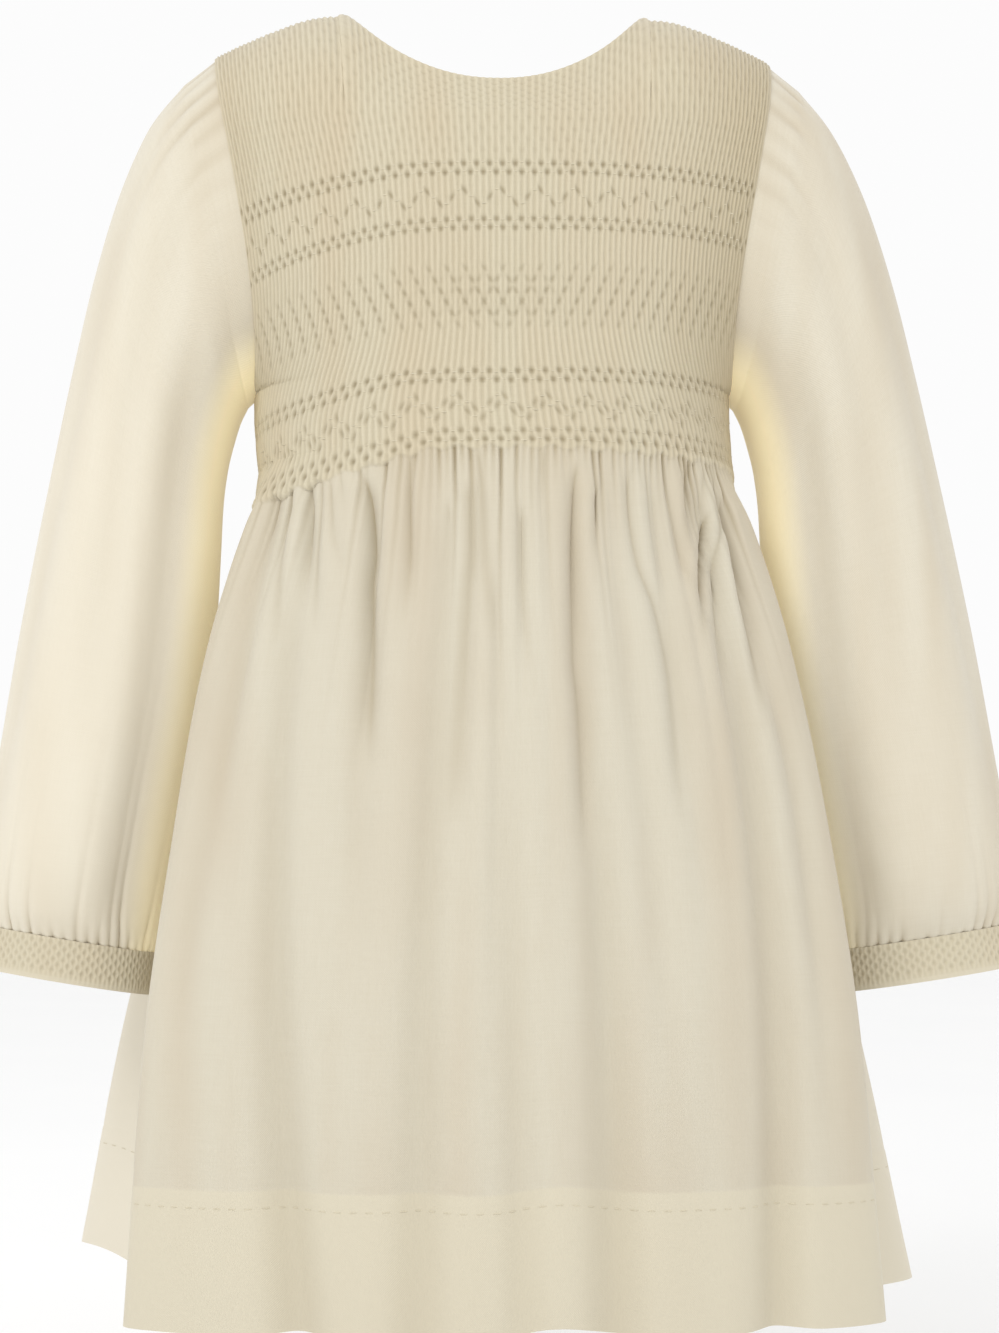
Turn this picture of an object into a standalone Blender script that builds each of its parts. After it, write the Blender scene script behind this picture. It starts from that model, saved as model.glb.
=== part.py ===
"""A child's long-sleeved smocked dress, hanging as if a wearer of about five years filled it.

Metres. +X is to the right seen from the front, -Y is the front and +Z is up.
The origin lies midway between the two neck points, at the top of the shoulder line.
Every cloth piece is a wall lofted from short tables of sizes: its base is the inside face, and
its outer face stands off by the cloth's thickness and by the raised pleats of the smocking.
"""

import math

import bmesh
import bpy
import numpy as np

# Cloth
SEAM_GAP = 0.0003
CLOTH = 0.0014
SMOCKED_BASE = 0.0012
SMOCKED_RAISE = 0.0014
HEM_EXTRA = 0.0006
HEM_DEPTH = 0.062

# Neck and shoulders
NECK_HALF_WIDTH = 0.0715
NECK_POINT_Z = -0.0015
SHOULDER_X = 0.129
SHOULDER_DROP = 0.0225
SHOULDER_BULGE = 1.3
NECKLINE_CURVE = 2.2
NECKLINE = {-1: {"depth": 0.058, "drop": 0.0435}, 1: {"depth": 0.048, "drop": 0.0245}}

# Armhole: a leaning oval from the shoulder tip to the underarm, scooped a little in front
ARM_X = 0.1192
ARM_Z = -0.1003
ARM_HALF_HEIGHT = 0.0777
ARM_LEAN = 0.0098
ARM_SCOOP = 0.004
ARM_DEPTH = {-1: 0.048, 1: 0.044}
UNDERARM_Z = ARM_Z - ARM_HALF_HEIGHT
ARMHOLE_LEVELS = np.linspace(-0.060, UNDERARM_Z, 13)
ARMHOLE_EASE = 0.0005
SHOULDER_ROUND_FROM = 0.04
SHOULDER_ROUND_OVER = 0.05

# Bodice. The smocked rows sag towards the side seams, most on the wearer's right.
YOKE_LEVEL = -0.060
WAIST_LEVEL = -0.2105
WAIST_HALF_WIDTH = 0.1085
WAIST_LEAN = 0.002
ROW_DROOP = 0.006
DROOP_BLEND = 0.020
DROOP_AT_YOKE = 0.3
RIGHT_SAG = 0.010
RIGHT_SAG_LEVEL = -0.112
RIGHT_SAG_REACH = 0.035
CHEST = [
    {"level": -0.060, "front": 0.068, "back": 0.056},
    {"level": -0.090, "front": 0.077, "back": 0.063},
    {"level": -0.120, "front": 0.081, "back": 0.068},
    {"level": -0.150, "front": 0.083, "back": 0.070},
    {"level": -0.178, "front": 0.0845, "back": 0.071},
    {"level": -0.2105, "front": 0.0875, "back": 0.070},
]

# Smocked rows of the front from the neckline down; a level is the row's height at the centre
SMOCKING = [
    {"level": -0.0600, "stitch": "rib"},
    {"level": -0.0835, "stitch": "rib"},
    {"level": -0.0868, "stitch": "cable_up"},
    {"level": -0.0902, "stitch": "cable_down"},
    {"level": -0.0940, "stitch": "rib"},
    {"level": -0.0985, "stitch": "wave_peak"},
    {"level": -0.1025, "stitch": "wave_side"},
    {"level": -0.1065, "stitch": "wave_foot"},
    {"level": -0.1110, "stitch": "rib"},
    {"level": -0.1140, "stitch": "cable_up"},
    {"level": -0.1174, "stitch": "cable_down"},
    {"level": -0.1220, "stitch": "rib"},
    {"level": -0.1320, "stitch": "trellis"},
    {"level": -0.1372, "stitch": "trellis"},
    {"level": -0.1424, "stitch": "trellis"},
    {"level": -0.1476, "stitch": "trellis"},
    {"level": -0.1528, "stitch": "trellis"},
    {"level": -0.1580, "stitch": "trellis"},
    {"level": -0.1640, "stitch": "rib"},
    {"level": -0.1765, "stitch": "rib"},
    {"level": -0.1800, "stitch": "cable_up"},
    {"level": -0.1834, "stitch": "cable_down"},
    {"level": -0.1875, "stitch": "wave_peak"},
    {"level": -0.1920, "stitch": "wave_side"},
    {"level": -0.1965, "stitch": "wave_foot"},
    {"level": -0.2010, "stitch": "cable_up"},
    {"level": -0.2058, "stitch": "cable_down"},
    {"level": -0.2105, "stitch": "cable_up"},
]
FRONT_COLUMNS = 97
YOKE_ROWS = 4
WAVE_COLUMNS = 8

# Raised height of the smocking as a share of SMOCKED_RAISE: in a hole and on a pleat
STITCH_HEIGHT = {
    "edge": {"hole": 0.50, "pleat": 0.70},
    "rib": {"hole": 0.45, "pleat": 0.90},
    "cable": {"hole": 0.00, "pleat": 1.00},
    "wave": {"hole": 0.55, "pleat": 0.95},
    "trellis": {"hole": 0.05, "pleat": 0.85},
    "cuff": {"hole": 0.10, "pleat": 0.90},
}
STITCH_DENT = 0.05
CUFF_EDGE_HEIGHT = 0.35
TRELLIS_REPEAT = 3
EDGE_HEIGHT = 0.5
BODICE_INSIDE_STEP = 4
SKIRT_INSIDE_STEP = 2
PLEATED_SKIRT_ROWS = 5

# Skirt outline. The front turns a corner at the fold, tucks in to the side seam, and the back
# flares out again behind the sleeve; the flare is given for the wearer's right and left. The
# whole skirt leans a little towards the wearer's left.
SKIRT = [
    {"level": -0.2105, "lean": WAIST_LEAN, "front": 0.0875, "fold": (0.0980, -0.040), "tuck": (0.1085, 0.000),
     "flare_right": (0.0980, 0.034), "flare_left": (0.0980, 0.034), "back": 0.070},
    {"level": -0.2400, "lean": 0.0020, "front": 0.0930, "fold": (0.1140, -0.036), "tuck": (0.1115, 0.002),
     "flare_right": (0.1060, 0.042), "flare_left": (0.1060, 0.042), "back": 0.080},
    {"level": -0.3000, "lean": 0.0020, "front": 0.1000, "fold": (0.1315, -0.042), "tuck": (0.1170, 0.004),
     "flare_right": (0.1260, 0.056), "flare_left": (0.1290, 0.052), "back": 0.094},
    {"level": -0.3800, "lean": 0.0025, "front": 0.1050, "fold": (0.1460, -0.050), "tuck": (0.1240, 0.006),
     "flare_right": (0.1500, 0.072), "flare_left": (0.1500, 0.062), "back": 0.108},
    {"level": -0.4700, "lean": 0.0030, "front": 0.1090, "fold": (0.1580, -0.056), "tuck": (0.1350, 0.006),
     "flare_right": (0.1760, 0.088), "flare_left": (0.1740, 0.060), "back": 0.120},
    {"level": -0.5980, "lean": 0.0040, "front": 0.1110, "fold": (0.1670, -0.060), "tuck": (0.1490, 0.004),
     "flare_right": (0.2015, 0.113), "flare_left": (0.1990, 0.053), "back": 0.131},
]
HEM_LEVEL = -0.598
SKIRT_RING_POINTS = 641
SKIRT_ROW_POINTS = 200
FRONT_HEM_LIFT = [
    {"at": 0.000, "lift": 0.000},
    {"at": 0.490, "lift": 0.000},
    {"at": 0.546, "lift": 0.005},
    {"at": 0.600, "lift": 0.000},
    {"at": 1.000, "lift": 0.000},
]
BACK_HEM_LIFT = [
    {"at": 0.00, "lift": 0.000},
    {"at": 0.17, "lift": 0.014},
    {"at": 0.42, "lift": 0.000},
    {"at": 0.60, "lift": 0.000},
    {"at": 0.84, "lift": 0.003},
    {"at": 1.00, "lift": 0.000},
]
FOLD_HEM_LIFT = 0.25
BACK_SKIRT_COLUMNS = 49
SKIRT_DROPS = (0.03, 0.08, 0.15, 0.25, 0.37, 0.50, 0.65, 0.78)
HEM_STEP_DROP = 0.006
WAIST_BLEND = 0.20
PLEAT_RAISE = 0.0010
PLEAT_FADE = 0.10
GATHER_DEPTH = 0.0022
GATHER_COLUMNS = 4
GATHER_FADE = 0.26
GATHER_WANDER = 0.1
GATHER_WANDER_RATE = 11
FOLD_RISE = 0.12
FOLD_FALL = 0.25
FOLD_AT_START = 0.35
FOLDS_FULL_BELOW = 0.06
SEAM_FREE_SHARE = 0.04

# Long folds of the skirt, as valleys: where each lies at the waist and the hem, how deep and
# how wide it is there, and the share of the drop that it runs over
FRONT_FOLDS = [
    {"x": (-0.103, -0.140), "deep": (0.0030, 0.0030), "wide": (0.006, 0.013), "runs": (0.00, 0.80)},
    {"x": (-0.091, -0.112), "deep": (0.0025, 0.0020), "wide": (0.005, 0.012), "runs": (0.00, 0.60)},
    {"x": (-0.075, -0.088), "deep": (0.0035, 0.0090), "wide": (0.006, 0.014), "runs": (0.00, 1.40)},
    {"x": (-0.048, -0.058), "deep": (0.0035, 0.0030), "wide": (0.005, 0.013), "runs": (0.00, 0.70)},
    {"x": (-0.021, -0.036), "deep": (0.0030, 0.0070), "wide": (0.006, 0.013), "runs": (0.05, 1.40)},
    {"x": (-0.002, 0.010), "deep": (0.0025, 0.0050), "wide": (0.005, 0.012), "runs": (0.10, 1.30)},
    {"x": (0.028, 0.050), "deep": (0.0035, 0.0080), "wide": (0.005, 0.014), "runs": (0.05, 1.40)},
    {"x": (0.042, 0.078), "deep": (0.0030, 0.0030), "wide": (0.006, 0.013), "runs": (0.00, 0.80)},
    {"x": (0.060, 0.098), "deep": (0.0030, 0.0020), "wide": (0.005, 0.012), "runs": (0.00, 0.60)},
    {"x": (0.081, 0.122), "deep": (0.0045, 0.0080), "wide": (0.005, 0.013), "runs": (0.00, 1.40)},
    {"x": (0.099, 0.145), "deep": (0.0035, 0.0030), "wide": (0.005, 0.010), "runs": (0.00, 0.80)},
]
BACK_FOLDS = [
    {"x": (-0.086, -0.160), "deep": (0.0030, 0.0070), "wide": (0.007, 0.016), "runs": (0.00, 1.40)},
    {"x": (-0.062, -0.106), "deep": (0.0030, 0.0090), "wide": (0.007, 0.018), "runs": (0.05, 1.40)},
    {"x": (-0.034, -0.050), "deep": (0.0030, 0.0060), "wide": (0.006, 0.016), "runs": (0.00, 1.20)},
    {"x": (-0.008, -0.004), "deep": (0.0030, 0.0100), "wide": (0.007, 0.018), "runs": (0.05, 1.40)},
    {"x": (0.022, 0.042), "deep": (0.0030, 0.0060), "wide": (0.006, 0.015), "runs": (0.00, 1.30)},
    {"x": (0.050, 0.094), "deep": (0.0030, 0.0095), "wide": (0.007, 0.018), "runs": (0.05, 1.40)},
    {"x": (0.080, 0.150), "deep": (0.0030, 0.0060), "wide": (0.007, 0.015), "runs": (0.00, 1.30)},
]

# Sleeve, from the armhole to the top of the cuff: the outer edge, the inner edge under the arm
# and half the depth from front to back
SLEEVE = [
    {"outer": (0.1430, -0.0345), "inner": (0.1150, -0.1835), "half_depth": 0.0485},
    {"outer": (0.1575, -0.0525), "inner": (0.1185, -0.1910), "half_depth": 0.0475},
    {"outer": (0.1725, -0.0820), "inner": (0.1215, -0.2010), "half_depth": 0.0460},
    {"outer": (0.1860, -0.1220), "inner": (0.1245, -0.2140), "half_depth": 0.0445},
    {"outer": (0.1972, -0.1665), "inner": (0.1265, -0.2310), "half_depth": 0.0430},
    {"outer": (0.2077, -0.2130), "inner": (0.1275, -0.2530), "half_depth": 0.0415},
    {"outer": (0.2177, -0.2590), "inner": (0.1290, -0.2830), "half_depth": 0.0405},
    {"outer": (0.2262, -0.3010), "inner": (0.1325, -0.3180), "half_depth": 0.0395},
    {"outer": (0.2342, -0.3460), "inner": (0.1395, -0.3570), "half_depth": 0.0385},
    {"outer": (0.2412, -0.3885), "inner": (0.1475, -0.3980), "half_depth": 0.0360},
    {"outer": (0.2437, -0.4105), "inner": (0.1525, -0.4220), "half_depth": 0.0300},
    {"outer": (0.2417, -0.4240), "inner": (0.1560, -0.4370), "half_depth": 0.0215},
]
RIGHT_ARM_FROM = 0.160
RIGHT_ARM_CLOSER = 0.10
SLEEVE_COLUMNS = 32
SLEEVE_PLEAT_RAISE = 0.0013
CUFF_PLEAT_FADE = 0.12
CAP_PLEAT_FADE = 0.10
CAP_PLEAT_SHARE = 0.6
SLEEVE_FOLD_RISE = 0.2
SLEEVE_FOLD_AT_END = 0.2

# Long soft folds of the sleeve: where each lies round the arm in degrees, from the outer edge
# by way of the front, how far it turns on its way down, and how deep and wide it is
SLEEVE_FOLDS = [
    {"around": 40, "twist": -20, "deep": 0.0035, "wide": 16, "runs": (0.10, 0.85)},
    {"around": 75, "twist": 15, "deep": 0.0030, "wide": 14, "runs": (0.00, 0.70)},
    {"around": 118, "twist": 10, "deep": 0.0040, "wide": 16, "runs": (0.15, 1.00)},
    {"around": 215, "twist": 10, "deep": 0.0035, "wide": 16, "runs": (0.10, 0.90)},
    {"around": 262, "twist": -15, "deep": 0.0030, "wide": 14, "runs": (0.00, 0.80)},
    {"around": 318, "twist": 20, "deep": 0.0035, "wide": 16, "runs": (0.10, 0.85)},
]

# Smocked cuff: a leaning oval band
CUFF_HEIGHT = 0.0195
CUFF_COLUMNS = 48
CUFF_ROWS = 5
CUFF_FLARE = 0.0010
CUFF_EASE = 0.0008

# Back opening: the wearer's right half laps over the left, down to the waist
PLACKET_HALF_WIDTH = 0.009
PLACKET_LIFT = 0.0021
PLACKET_BLEND = 0.030
BACK_HALF_COLUMNS = 13
BACK_BODICE_ROWS = 9
# Buttons on the centre of the lap, by their heights
BUTTON_LEVELS = (-0.036, -0.084, -0.132, -0.180)
BUTTON_RADIUS = 0.0056
BUTTON_THICKNESS = 0.0022
BUTTON_SIDES = 16
BUTTON_RIM_SHARE = 0.9
BUTTON_EASE = 0.0002
BUTTON_EYE_RADIUS = 0.0009
BUTTON_EYE_SPACING = 0.0013
BUTTON_EYE_SIDES = 6

COTTON = (0.83, 0.77, 0.62, 1.0)
SMOCKED_COTTON = (0.78, 0.71, 0.54, 1.0)
SHELL = (0.90, 0.87, 0.79, 1.0)


def smooth(knots, values, at):
    """Monotone cubic curve through values at rising knots: it never overshoots them."""
    knots = np.asarray(knots, float)
    values = np.asarray(values, float)
    step = np.diff(knots)
    rise = np.diff(values) / step
    slope = np.concatenate([rise[:1], np.zeros(len(knots) - 2), rise[-1:]])
    for k in range(1, len(knots) - 1):
        if rise[k - 1] * rise[k] > 0:
            slope[k] = 2 / (1 / rise[k - 1] + 1 / rise[k])
    at = np.clip(np.asarray(at, float), knots[0], knots[-1])
    k = np.clip(np.searchsorted(knots, at, side="right") - 1, 0, len(knots) - 2)
    t = (at - knots[k]) / step[k]
    return (
        values[k] * (1 + 2 * t) * (1 - t) ** 2
        + values[k + 1] * t * t * (3 - 2 * t)
        + step[k] * t * (1 - t) * (slope[k] * (1 - t) - slope[k + 1] * t)
    )


def down(table, column, level, item=None):
    """A table's column at a level; the tables list their levels from the top down."""
    values = [row[column] if item is None else row[column][item] for row in table]
    return smooth([-row["level"] for row in table], values, -np.asarray(level))


def ease(value):
    """Smooth step from 0 to 1."""
    value = np.clip(value, 0, 1)
    return value * value * (3 - 2 * value)


def evenly(points, count):
    """count points at equal distances along a dense line of points."""
    along = np.concatenate([[0], np.cumsum(np.linalg.norm(np.diff(points, axis=0), axis=1))])
    at = np.linspace(0, along[-1], count)
    return np.stack([np.interp(at, along, points[:, axis]) for axis in range(3)], axis=1)


def normals(grid, closed=False):
    """Unit normals of a grid of points whose rows run left to right seen from outside."""
    if closed:
        across = np.roll(grid, -1, axis=1) - np.roll(grid, 1, axis=1)
    else:
        across = np.gradient(grid, axis=1)
    along = np.gradient(grid, axis=0)
    normal = np.cross(along, across)
    return normal / np.linalg.norm(normal, axis=2, keepdims=True)


def panel_normals(grid, side):
    """Outward normals of a front or back panel, whose rows run towards +X."""
    return normals(grid) if side < 0 else normals(grid[:, ::-1])[:, ::-1]


def square_to(vectors, axis):
    """Unit vectors turned square to an axis, so that a seam's two rims stay in parallel planes."""
    axis = np.asarray(axis, float)
    flat = vectors - (vectors @ axis)[..., None] * axis
    return flat / np.linalg.norm(flat, axis=-1, keepdims=True)


def set_in(grid, facing, step, closed=False):
    """Every step-th column of the inside face, set in so that no chord cuts into the cloth."""
    kept = grid[:, ::step]
    proud = np.zeros(kept.shape[:2])
    for between in range(1, step):
        missed = grid[:, between::step]
        count = missed.shape[1]
        after = np.roll(kept, -1, axis=1) if closed else kept[:, 1:]
        chord = kept[:, :count] + (after - kept[:, :count]) * (between / step)
        over = np.sum((chord - missed) * facing[:, between::step], axis=2)
        proud[:, :count] = np.maximum(proud[:, :count], over)
        if closed:
            proud = np.maximum(proud, np.roll(over, 1, axis=1))
        else:
            proud[:, 1:] = np.maximum(proud[:, 1:], over)
    return kept - facing[:, ::step] * proud[..., None]


def zip_lines(mesh, first, second, closed):
    """Triangles between two lines of vertices that may have different counts."""
    if closed:
        first = first + first[:1]
        second = second + second[:1]
    i = j = 0
    while i < len(first) - 1 or j < len(second) - 1:
        if i == len(first) - 1:
            step_first = False
        elif j == len(second) - 1:
            step_first = True
        else:
            forward = (first[i + 1].co - second[j].co).length
            step_first = forward <= (first[i].co - second[j + 1].co).length
        if step_first:
            mesh.faces.new((first[i], first[i + 1], second[j]))
            i += 1
        else:
            mesh.faces.new((first[i], second[j + 1], second[j]))
            j += 1


def skin(mesh, rows, closed):
    """One face of a wall, from rows of points; returns its rows of vertices."""
    rows = [[mesh.verts.new(point) for point in row] for row in rows]
    for upper, lower in zip(rows, rows[1:]):
        if len(upper) != len(lower):
            zip_lines(mesh, upper, lower, closed)
            continue
        for c in range(len(upper) if closed else len(upper) - 1):
            n = (c + 1) % len(upper)
            mesh.faces.new((upper[c], upper[n], lower[n], lower[c]))
    return rows


def wall(name, outer, inner, material, closed=False):
    """One closed cloth wall between its outer and inner rows of points, top row first."""
    mesh = bmesh.new()
    out = skin(mesh, outer, closed)
    ins = skin(mesh, inner, closed)
    zip_lines(mesh, out[0], ins[0], closed)
    zip_lines(mesh, out[-1], ins[-1], closed)
    if not closed:
        for edge in (0, -1):
            zip_lines(mesh, [row[edge] for row in out], [row[edge] for row in ins], False)
    bmesh.ops.recalc_face_normals(mesh, faces=mesh.faces)
    return add_object(name, mesh, material)


def add_object(name, mesh, material):
    """Turns a bmesh into a named object of the dress."""
    data = bpy.data.meshes.new(name)
    mesh.to_mesh(data)
    mesh.free()
    data.materials.append(material)
    data.shade_smooth()
    data.set_sharp_from_angle(angle=math.radians(50))
    thing = bpy.data.objects.new(name, data)
    DRESS.objects.link(thing)
    return thing


def add_material(name, colour, roughness):
    """A plain cloth or shell material."""
    made = bpy.data.materials.new(name)
    made.use_nodes = True
    shader = made.node_tree.nodes["Principled BSDF"]
    shader.inputs["Base Color"].default_value = colour
    shader.inputs["Roughness"].default_value = roughness
    shader.inputs["Metallic"].default_value = 0.0
    return made


# Bodice surface. side is -1 for the front and 1 for the back; across runs from -1 to 1 with +X.

def armhole(cosine, side):
    """A point of the armhole seam, from cosine 1 at the shoulder tip to -1 at the underarm."""
    sine = np.sqrt(np.clip(1 - cosine**2, 0, 1))
    x = ARM_X + ARM_LEAN * cosine - ARM_SCOOP * sine**2 * (1 - cosine)
    return x, side * ARM_DEPTH[side] * sine, ARM_Z + ARM_HALF_HEIGHT * cosine


def panel_edge(level, side):
    """Edge of a bodice panel at a level: the armhole, and below the underarm the side seam."""
    x, y, _ = armhole(np.clip((level - ARM_Z) / ARM_HALF_HEIGHT, -1, 1), side)
    below = np.clip((UNDERARM_Z - level) / (UNDERARM_Z - WAIST_LEVEL), 0, 1)
    return x + (WAIST_HALF_WIDTH - x) * below, y


def bodice_row(across, level, side):
    """A row of the bodice's inside face: an arc through both edges and the middle."""
    sag = RIGHT_SAG * math.exp(-(((level - RIGHT_SAG_LEVEL) / RIGHT_SAG_REACH) ** 2))
    drop = (ROW_DROOP + (across < 0) * (side < 0) * sag) * across**2
    drop = drop * ease((YOKE_LEVEL - level) / DROOP_BLEND + DROOP_AT_YOKE)
    edge_x, edge_y = panel_edge(level - drop, side)
    below = np.clip((UNDERARM_Z - level) / (UNDERARM_Z - WAIST_LEVEL), 0, 1)
    middle = side * down(CHEST, "front" if side < 0 else "back", level)
    wrap = math.pi / 2 - (math.pi / 6) * np.abs(edge_y) / ARM_DEPTH[side]
    x = edge_x * np.sin(wrap * across) / np.sin(wrap) + WAIST_LEAN * below**2
    y = middle + (edge_y - middle) * (1 - np.cos(wrap * across)) / (1 - np.cos(wrap))
    return np.stack([x, y, level - drop], axis=1)


def top_edge(across, side):
    """Top of a bodice panel: the neckline between the neck points, then the shoulder seam."""
    x = across * SHOULDER_X
    beyond = np.clip((np.abs(x) - NECK_HALF_WIDTH) / (SHOULDER_X - NECK_HALF_WIDTH), 0, 1)
    bowl = np.sqrt(1 - np.clip(np.abs(x) / NECK_HALF_WIDTH, 0, 1) ** NECKLINE_CURVE)
    y = side * np.maximum(NECKLINE[side]["depth"] * bowl, SEAM_GAP / 2)
    z = NECK_POINT_Z - (NECKLINE[side]["drop"] + NECK_POINT_Z) * bowl**2
    return np.stack([x, y, z - (SHOULDER_DROP + NECK_POINT_Z) * beyond**SHOULDER_BULGE], axis=1)


def yoke_row(across, share, side):
    """A row between the top edge and the yoke line, rounded over the shoulder at its ends."""
    top = top_edge(across, side)
    reach = bodice_row(across, YOKE_LEVEL, side) - top
    turn = share * math.pi / 2
    over = ease((np.abs(top[:, 0]) - SHOULDER_ROUND_FROM) / SHOULDER_ROUND_OVER)
    row = top + reach * share
    row[:, 1] += reach[:, 1] * (math.sin(turn) - share) * over
    row[:, 2] += reach[:, 2] * (1 - math.cos(turn) - share) * over
    lowest = math.acos((YOKE_LEVEL - ARM_Z) / ARM_HALF_HEIGHT)
    x, y, z = armhole(math.cos(share * lowest), side)
    for end in (0, -1):
        target = np.array([math.copysign(x, across[end]), y, z])
        near = np.clip(across * math.copysign(1, across[end]), 0, 1) ** 6
        row += (target - row[end]) * near[:, None] * (abs(across[end]) == 1)
    return row


def bodice_panel(across, levels, side):
    """Inside face of a bodice panel and its normals, from the top edge to the waist."""
    rows = [yoke_row(across, row / YOKE_ROWS, side) for row in range(YOKE_ROWS)]
    rows += [bodice_row(across, level, side) for level in levels]
    grid = np.array(rows)
    facing = panel_normals(grid, side)
    at_seam = np.abs(grid[..., 1]) < SEAM_GAP
    at_seam[:, 1:-1] &= (np.arange(len(grid)) == 0)[:, None]
    facing[at_seam] = square_to(facing[at_seam], (0, 1, 0))
    grid[at_seam, 1] = side * SEAM_GAP / 2
    return grid, facing


def stitch_height(stitch, row, columns):
    """How far each column of a smocked row stands up, from 0 in a hole to 1 on a pleat."""
    kind, _, place = stitch.partition("_")
    low, high = STITCH_HEIGHT[kind]["hole"], STITCH_HEIGHT[kind]["pleat"]
    column = np.arange(columns) - columns // 2
    pleat = column % 2 == 0
    half = WAVE_COLUMNS // 2
    from_peak = np.abs((column + half) % WAVE_COLUMNS - half)
    if stitch == "cable_down":
        return np.where(pleat, low, high)
    if kind == "wave":
        dent = from_peak == {"peak": 0, "side": half // 2, "foot": half}[place]
        return np.where(dent, STITCH_DENT, np.where(pleat, high, low))
    if kind == "trellis":
        return np.where((from_peak + row) % TRELLIS_REPEAT == 0, low, high)
    return np.where(pleat, high, low)


def smocked_height(columns):
    """Raised height of the whole bodice front, one row of numbers for each row of points."""
    stitches = ["edge"] + ["rib"] * (YOKE_ROWS - 1) + [row["stitch"] for row in SMOCKING]
    return np.array([stitch_height(stitch, row, columns) for row, stitch in enumerate(stitches)])


# Skirt

def skirt_ring(level):
    """The skirt's outline at a level, dense, from the centre back round by the wearer's right."""
    corners = [(0, down(SKIRT, "back", level))]
    for name, way in (("flare_right", -1), ("tuck", -1), ("fold", -1)):
        corners.append((way * down(SKIRT, name, level, 0), down(SKIRT, name, level, 1)))
    corners.append((0, -down(SKIRT, "front", level)))
    for name in ("fold", "tuck", "flare_left"):
        corners.append((down(SKIRT, name, level, 0), down(SKIRT, name, level, 1)))
    corners = np.array([corners[-1]] + corners + corners[:2])
    knots = np.arange(-1, len(corners) - 1)
    at = np.linspace(0, 8, SKIRT_RING_POINTS)
    x = smooth(knots, corners[:, 0], at) + down(SKIRT, "lean", level)
    return np.stack([x, smooth(knots, corners[:, 1], at), np.full_like(at, level)], axis=1)


def skirt_row(level, side, count):
    """The front or back share of the outline from side seam to side seam, towards +X."""
    ring = skirt_ring(level)
    quarter = len(ring) // 4
    if side < 0:
        return evenly(ring[quarter: 3 * quarter + 1], count)
    return evenly(np.concatenate([ring[3 * quarter:-1], ring[: quarter + 1]])[::-1], count)


def share_at(row, x):
    """The share of the way along a skirt row at which it reaches x, between its side folds."""
    skipped = len(row) // 6
    run = row[skipped:-skipped]
    share = np.linspace(0, 1, len(row))[skipped:-skipped]
    return np.interp(x, run[:, 0], share)


def fold_depth(folds, share, drop, ends, width):
    """Depth of all the long folds at one row: drop is 0 at the waist and 1 at the hem."""
    total = np.zeros_like(share)
    for fold in folds:
        start, end = fold["runs"]
        centre = np.interp(drop, [0, 1], [share_at(row, x) for row, x in zip(ends, fold["x"])])
        wide = np.interp(drop, [0, 1], fold["wide"])
        deep = np.interp(drop, [0, 1], fold["deep"])
        kept = np.clip((drop - start) / FOLD_RISE + FOLD_AT_START, 0, 1)
        kept *= np.clip((end - drop) / FOLD_FALL, 0, 1)
        total += deep * kept * np.exp(-(((share - centre) * width / wide) ** 2))
    return total


def skirt_panel(side, columns, folds, waist):
    """Inside face of a skirt panel below its waist row, its normals and its outer relief."""
    share = np.linspace(0, 1, columns)
    ends = [skirt_row(level, side, SKIRT_ROW_POINTS) for level in (WAIST_LEVEL, HEM_LEVEL)]
    top = skirt_row(WAIST_LEVEL, side, columns)
    hem_top = 1 - HEM_DEPTH / (WAIST_LEVEL - HEM_LEVEL)
    drops = np.array(SKIRT_DROPS + (hem_top, hem_top + HEM_STEP_DROP, 1.0))
    lifts = FRONT_HEM_LIFT if side < 0 else BACK_HEM_LIFT
    lift = smooth([row["at"] for row in lifts], [row["lift"] for row in lifts], share)
    rows = [waist]
    for drop in drops:
        row = skirt_row(WAIST_LEVEL + (HEM_LEVEL - WAIST_LEVEL) * drop, side, columns)
        row[:, :2] += (waist - top)[:, :2] * max(0, 1 - drop / WAIST_BLEND) ** 2
        row[:, 2] += (waist[:, 2] - WAIST_LEVEL) * (1 - drop) + lift * drop**2
        rows.append(row)
    grid = np.array(rows)
    facing = panel_normals(grid, side)
    seam_free = ease(np.minimum(share, 1 - share) / SEAM_FREE_SHARE)
    turns = np.arange(columns) / GATHER_COLUMNS + GATHER_WANDER * np.sin(GATHER_WANDER_RATE * share)
    ripple = 0.5 - 0.5 * np.cos(2 * math.pi * turns)
    for row, drop in enumerate(drops, 1):
        width = np.sum(np.linalg.norm(np.diff(grid[row], axis=0), axis=1))
        depth = fold_depth(folds, share, drop, ends, width)
        depth += GATHER_DEPTH * ripple * math.exp(-drop / GATHER_FADE)
        depth *= seam_free * min(1, drop / FOLDS_FULL_BELOW)
        grid[row] -= facing[row] * depth[:, None]
        grid[row, :, 2] += FOLD_HEM_LIFT * depth * drop**4
    facing = panel_normals(grid, side)
    facing[:, [0, -1]] = square_to(facing[:, [0, -1]], (0, 1, 0))
    grid[1:, [0, -1], 1] += side * SEAM_GAP / 2
    pleat = (np.arange(columns) % 2 == 0) * PLEAT_RAISE
    relief = np.exp(-np.concatenate([[0], drops]) / PLEAT_FADE)[:, None] * pleat
    hem = np.concatenate([[0], drops]) > hem_top + HEM_STEP_DROP / 2
    return grid, facing, relief, hem


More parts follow.
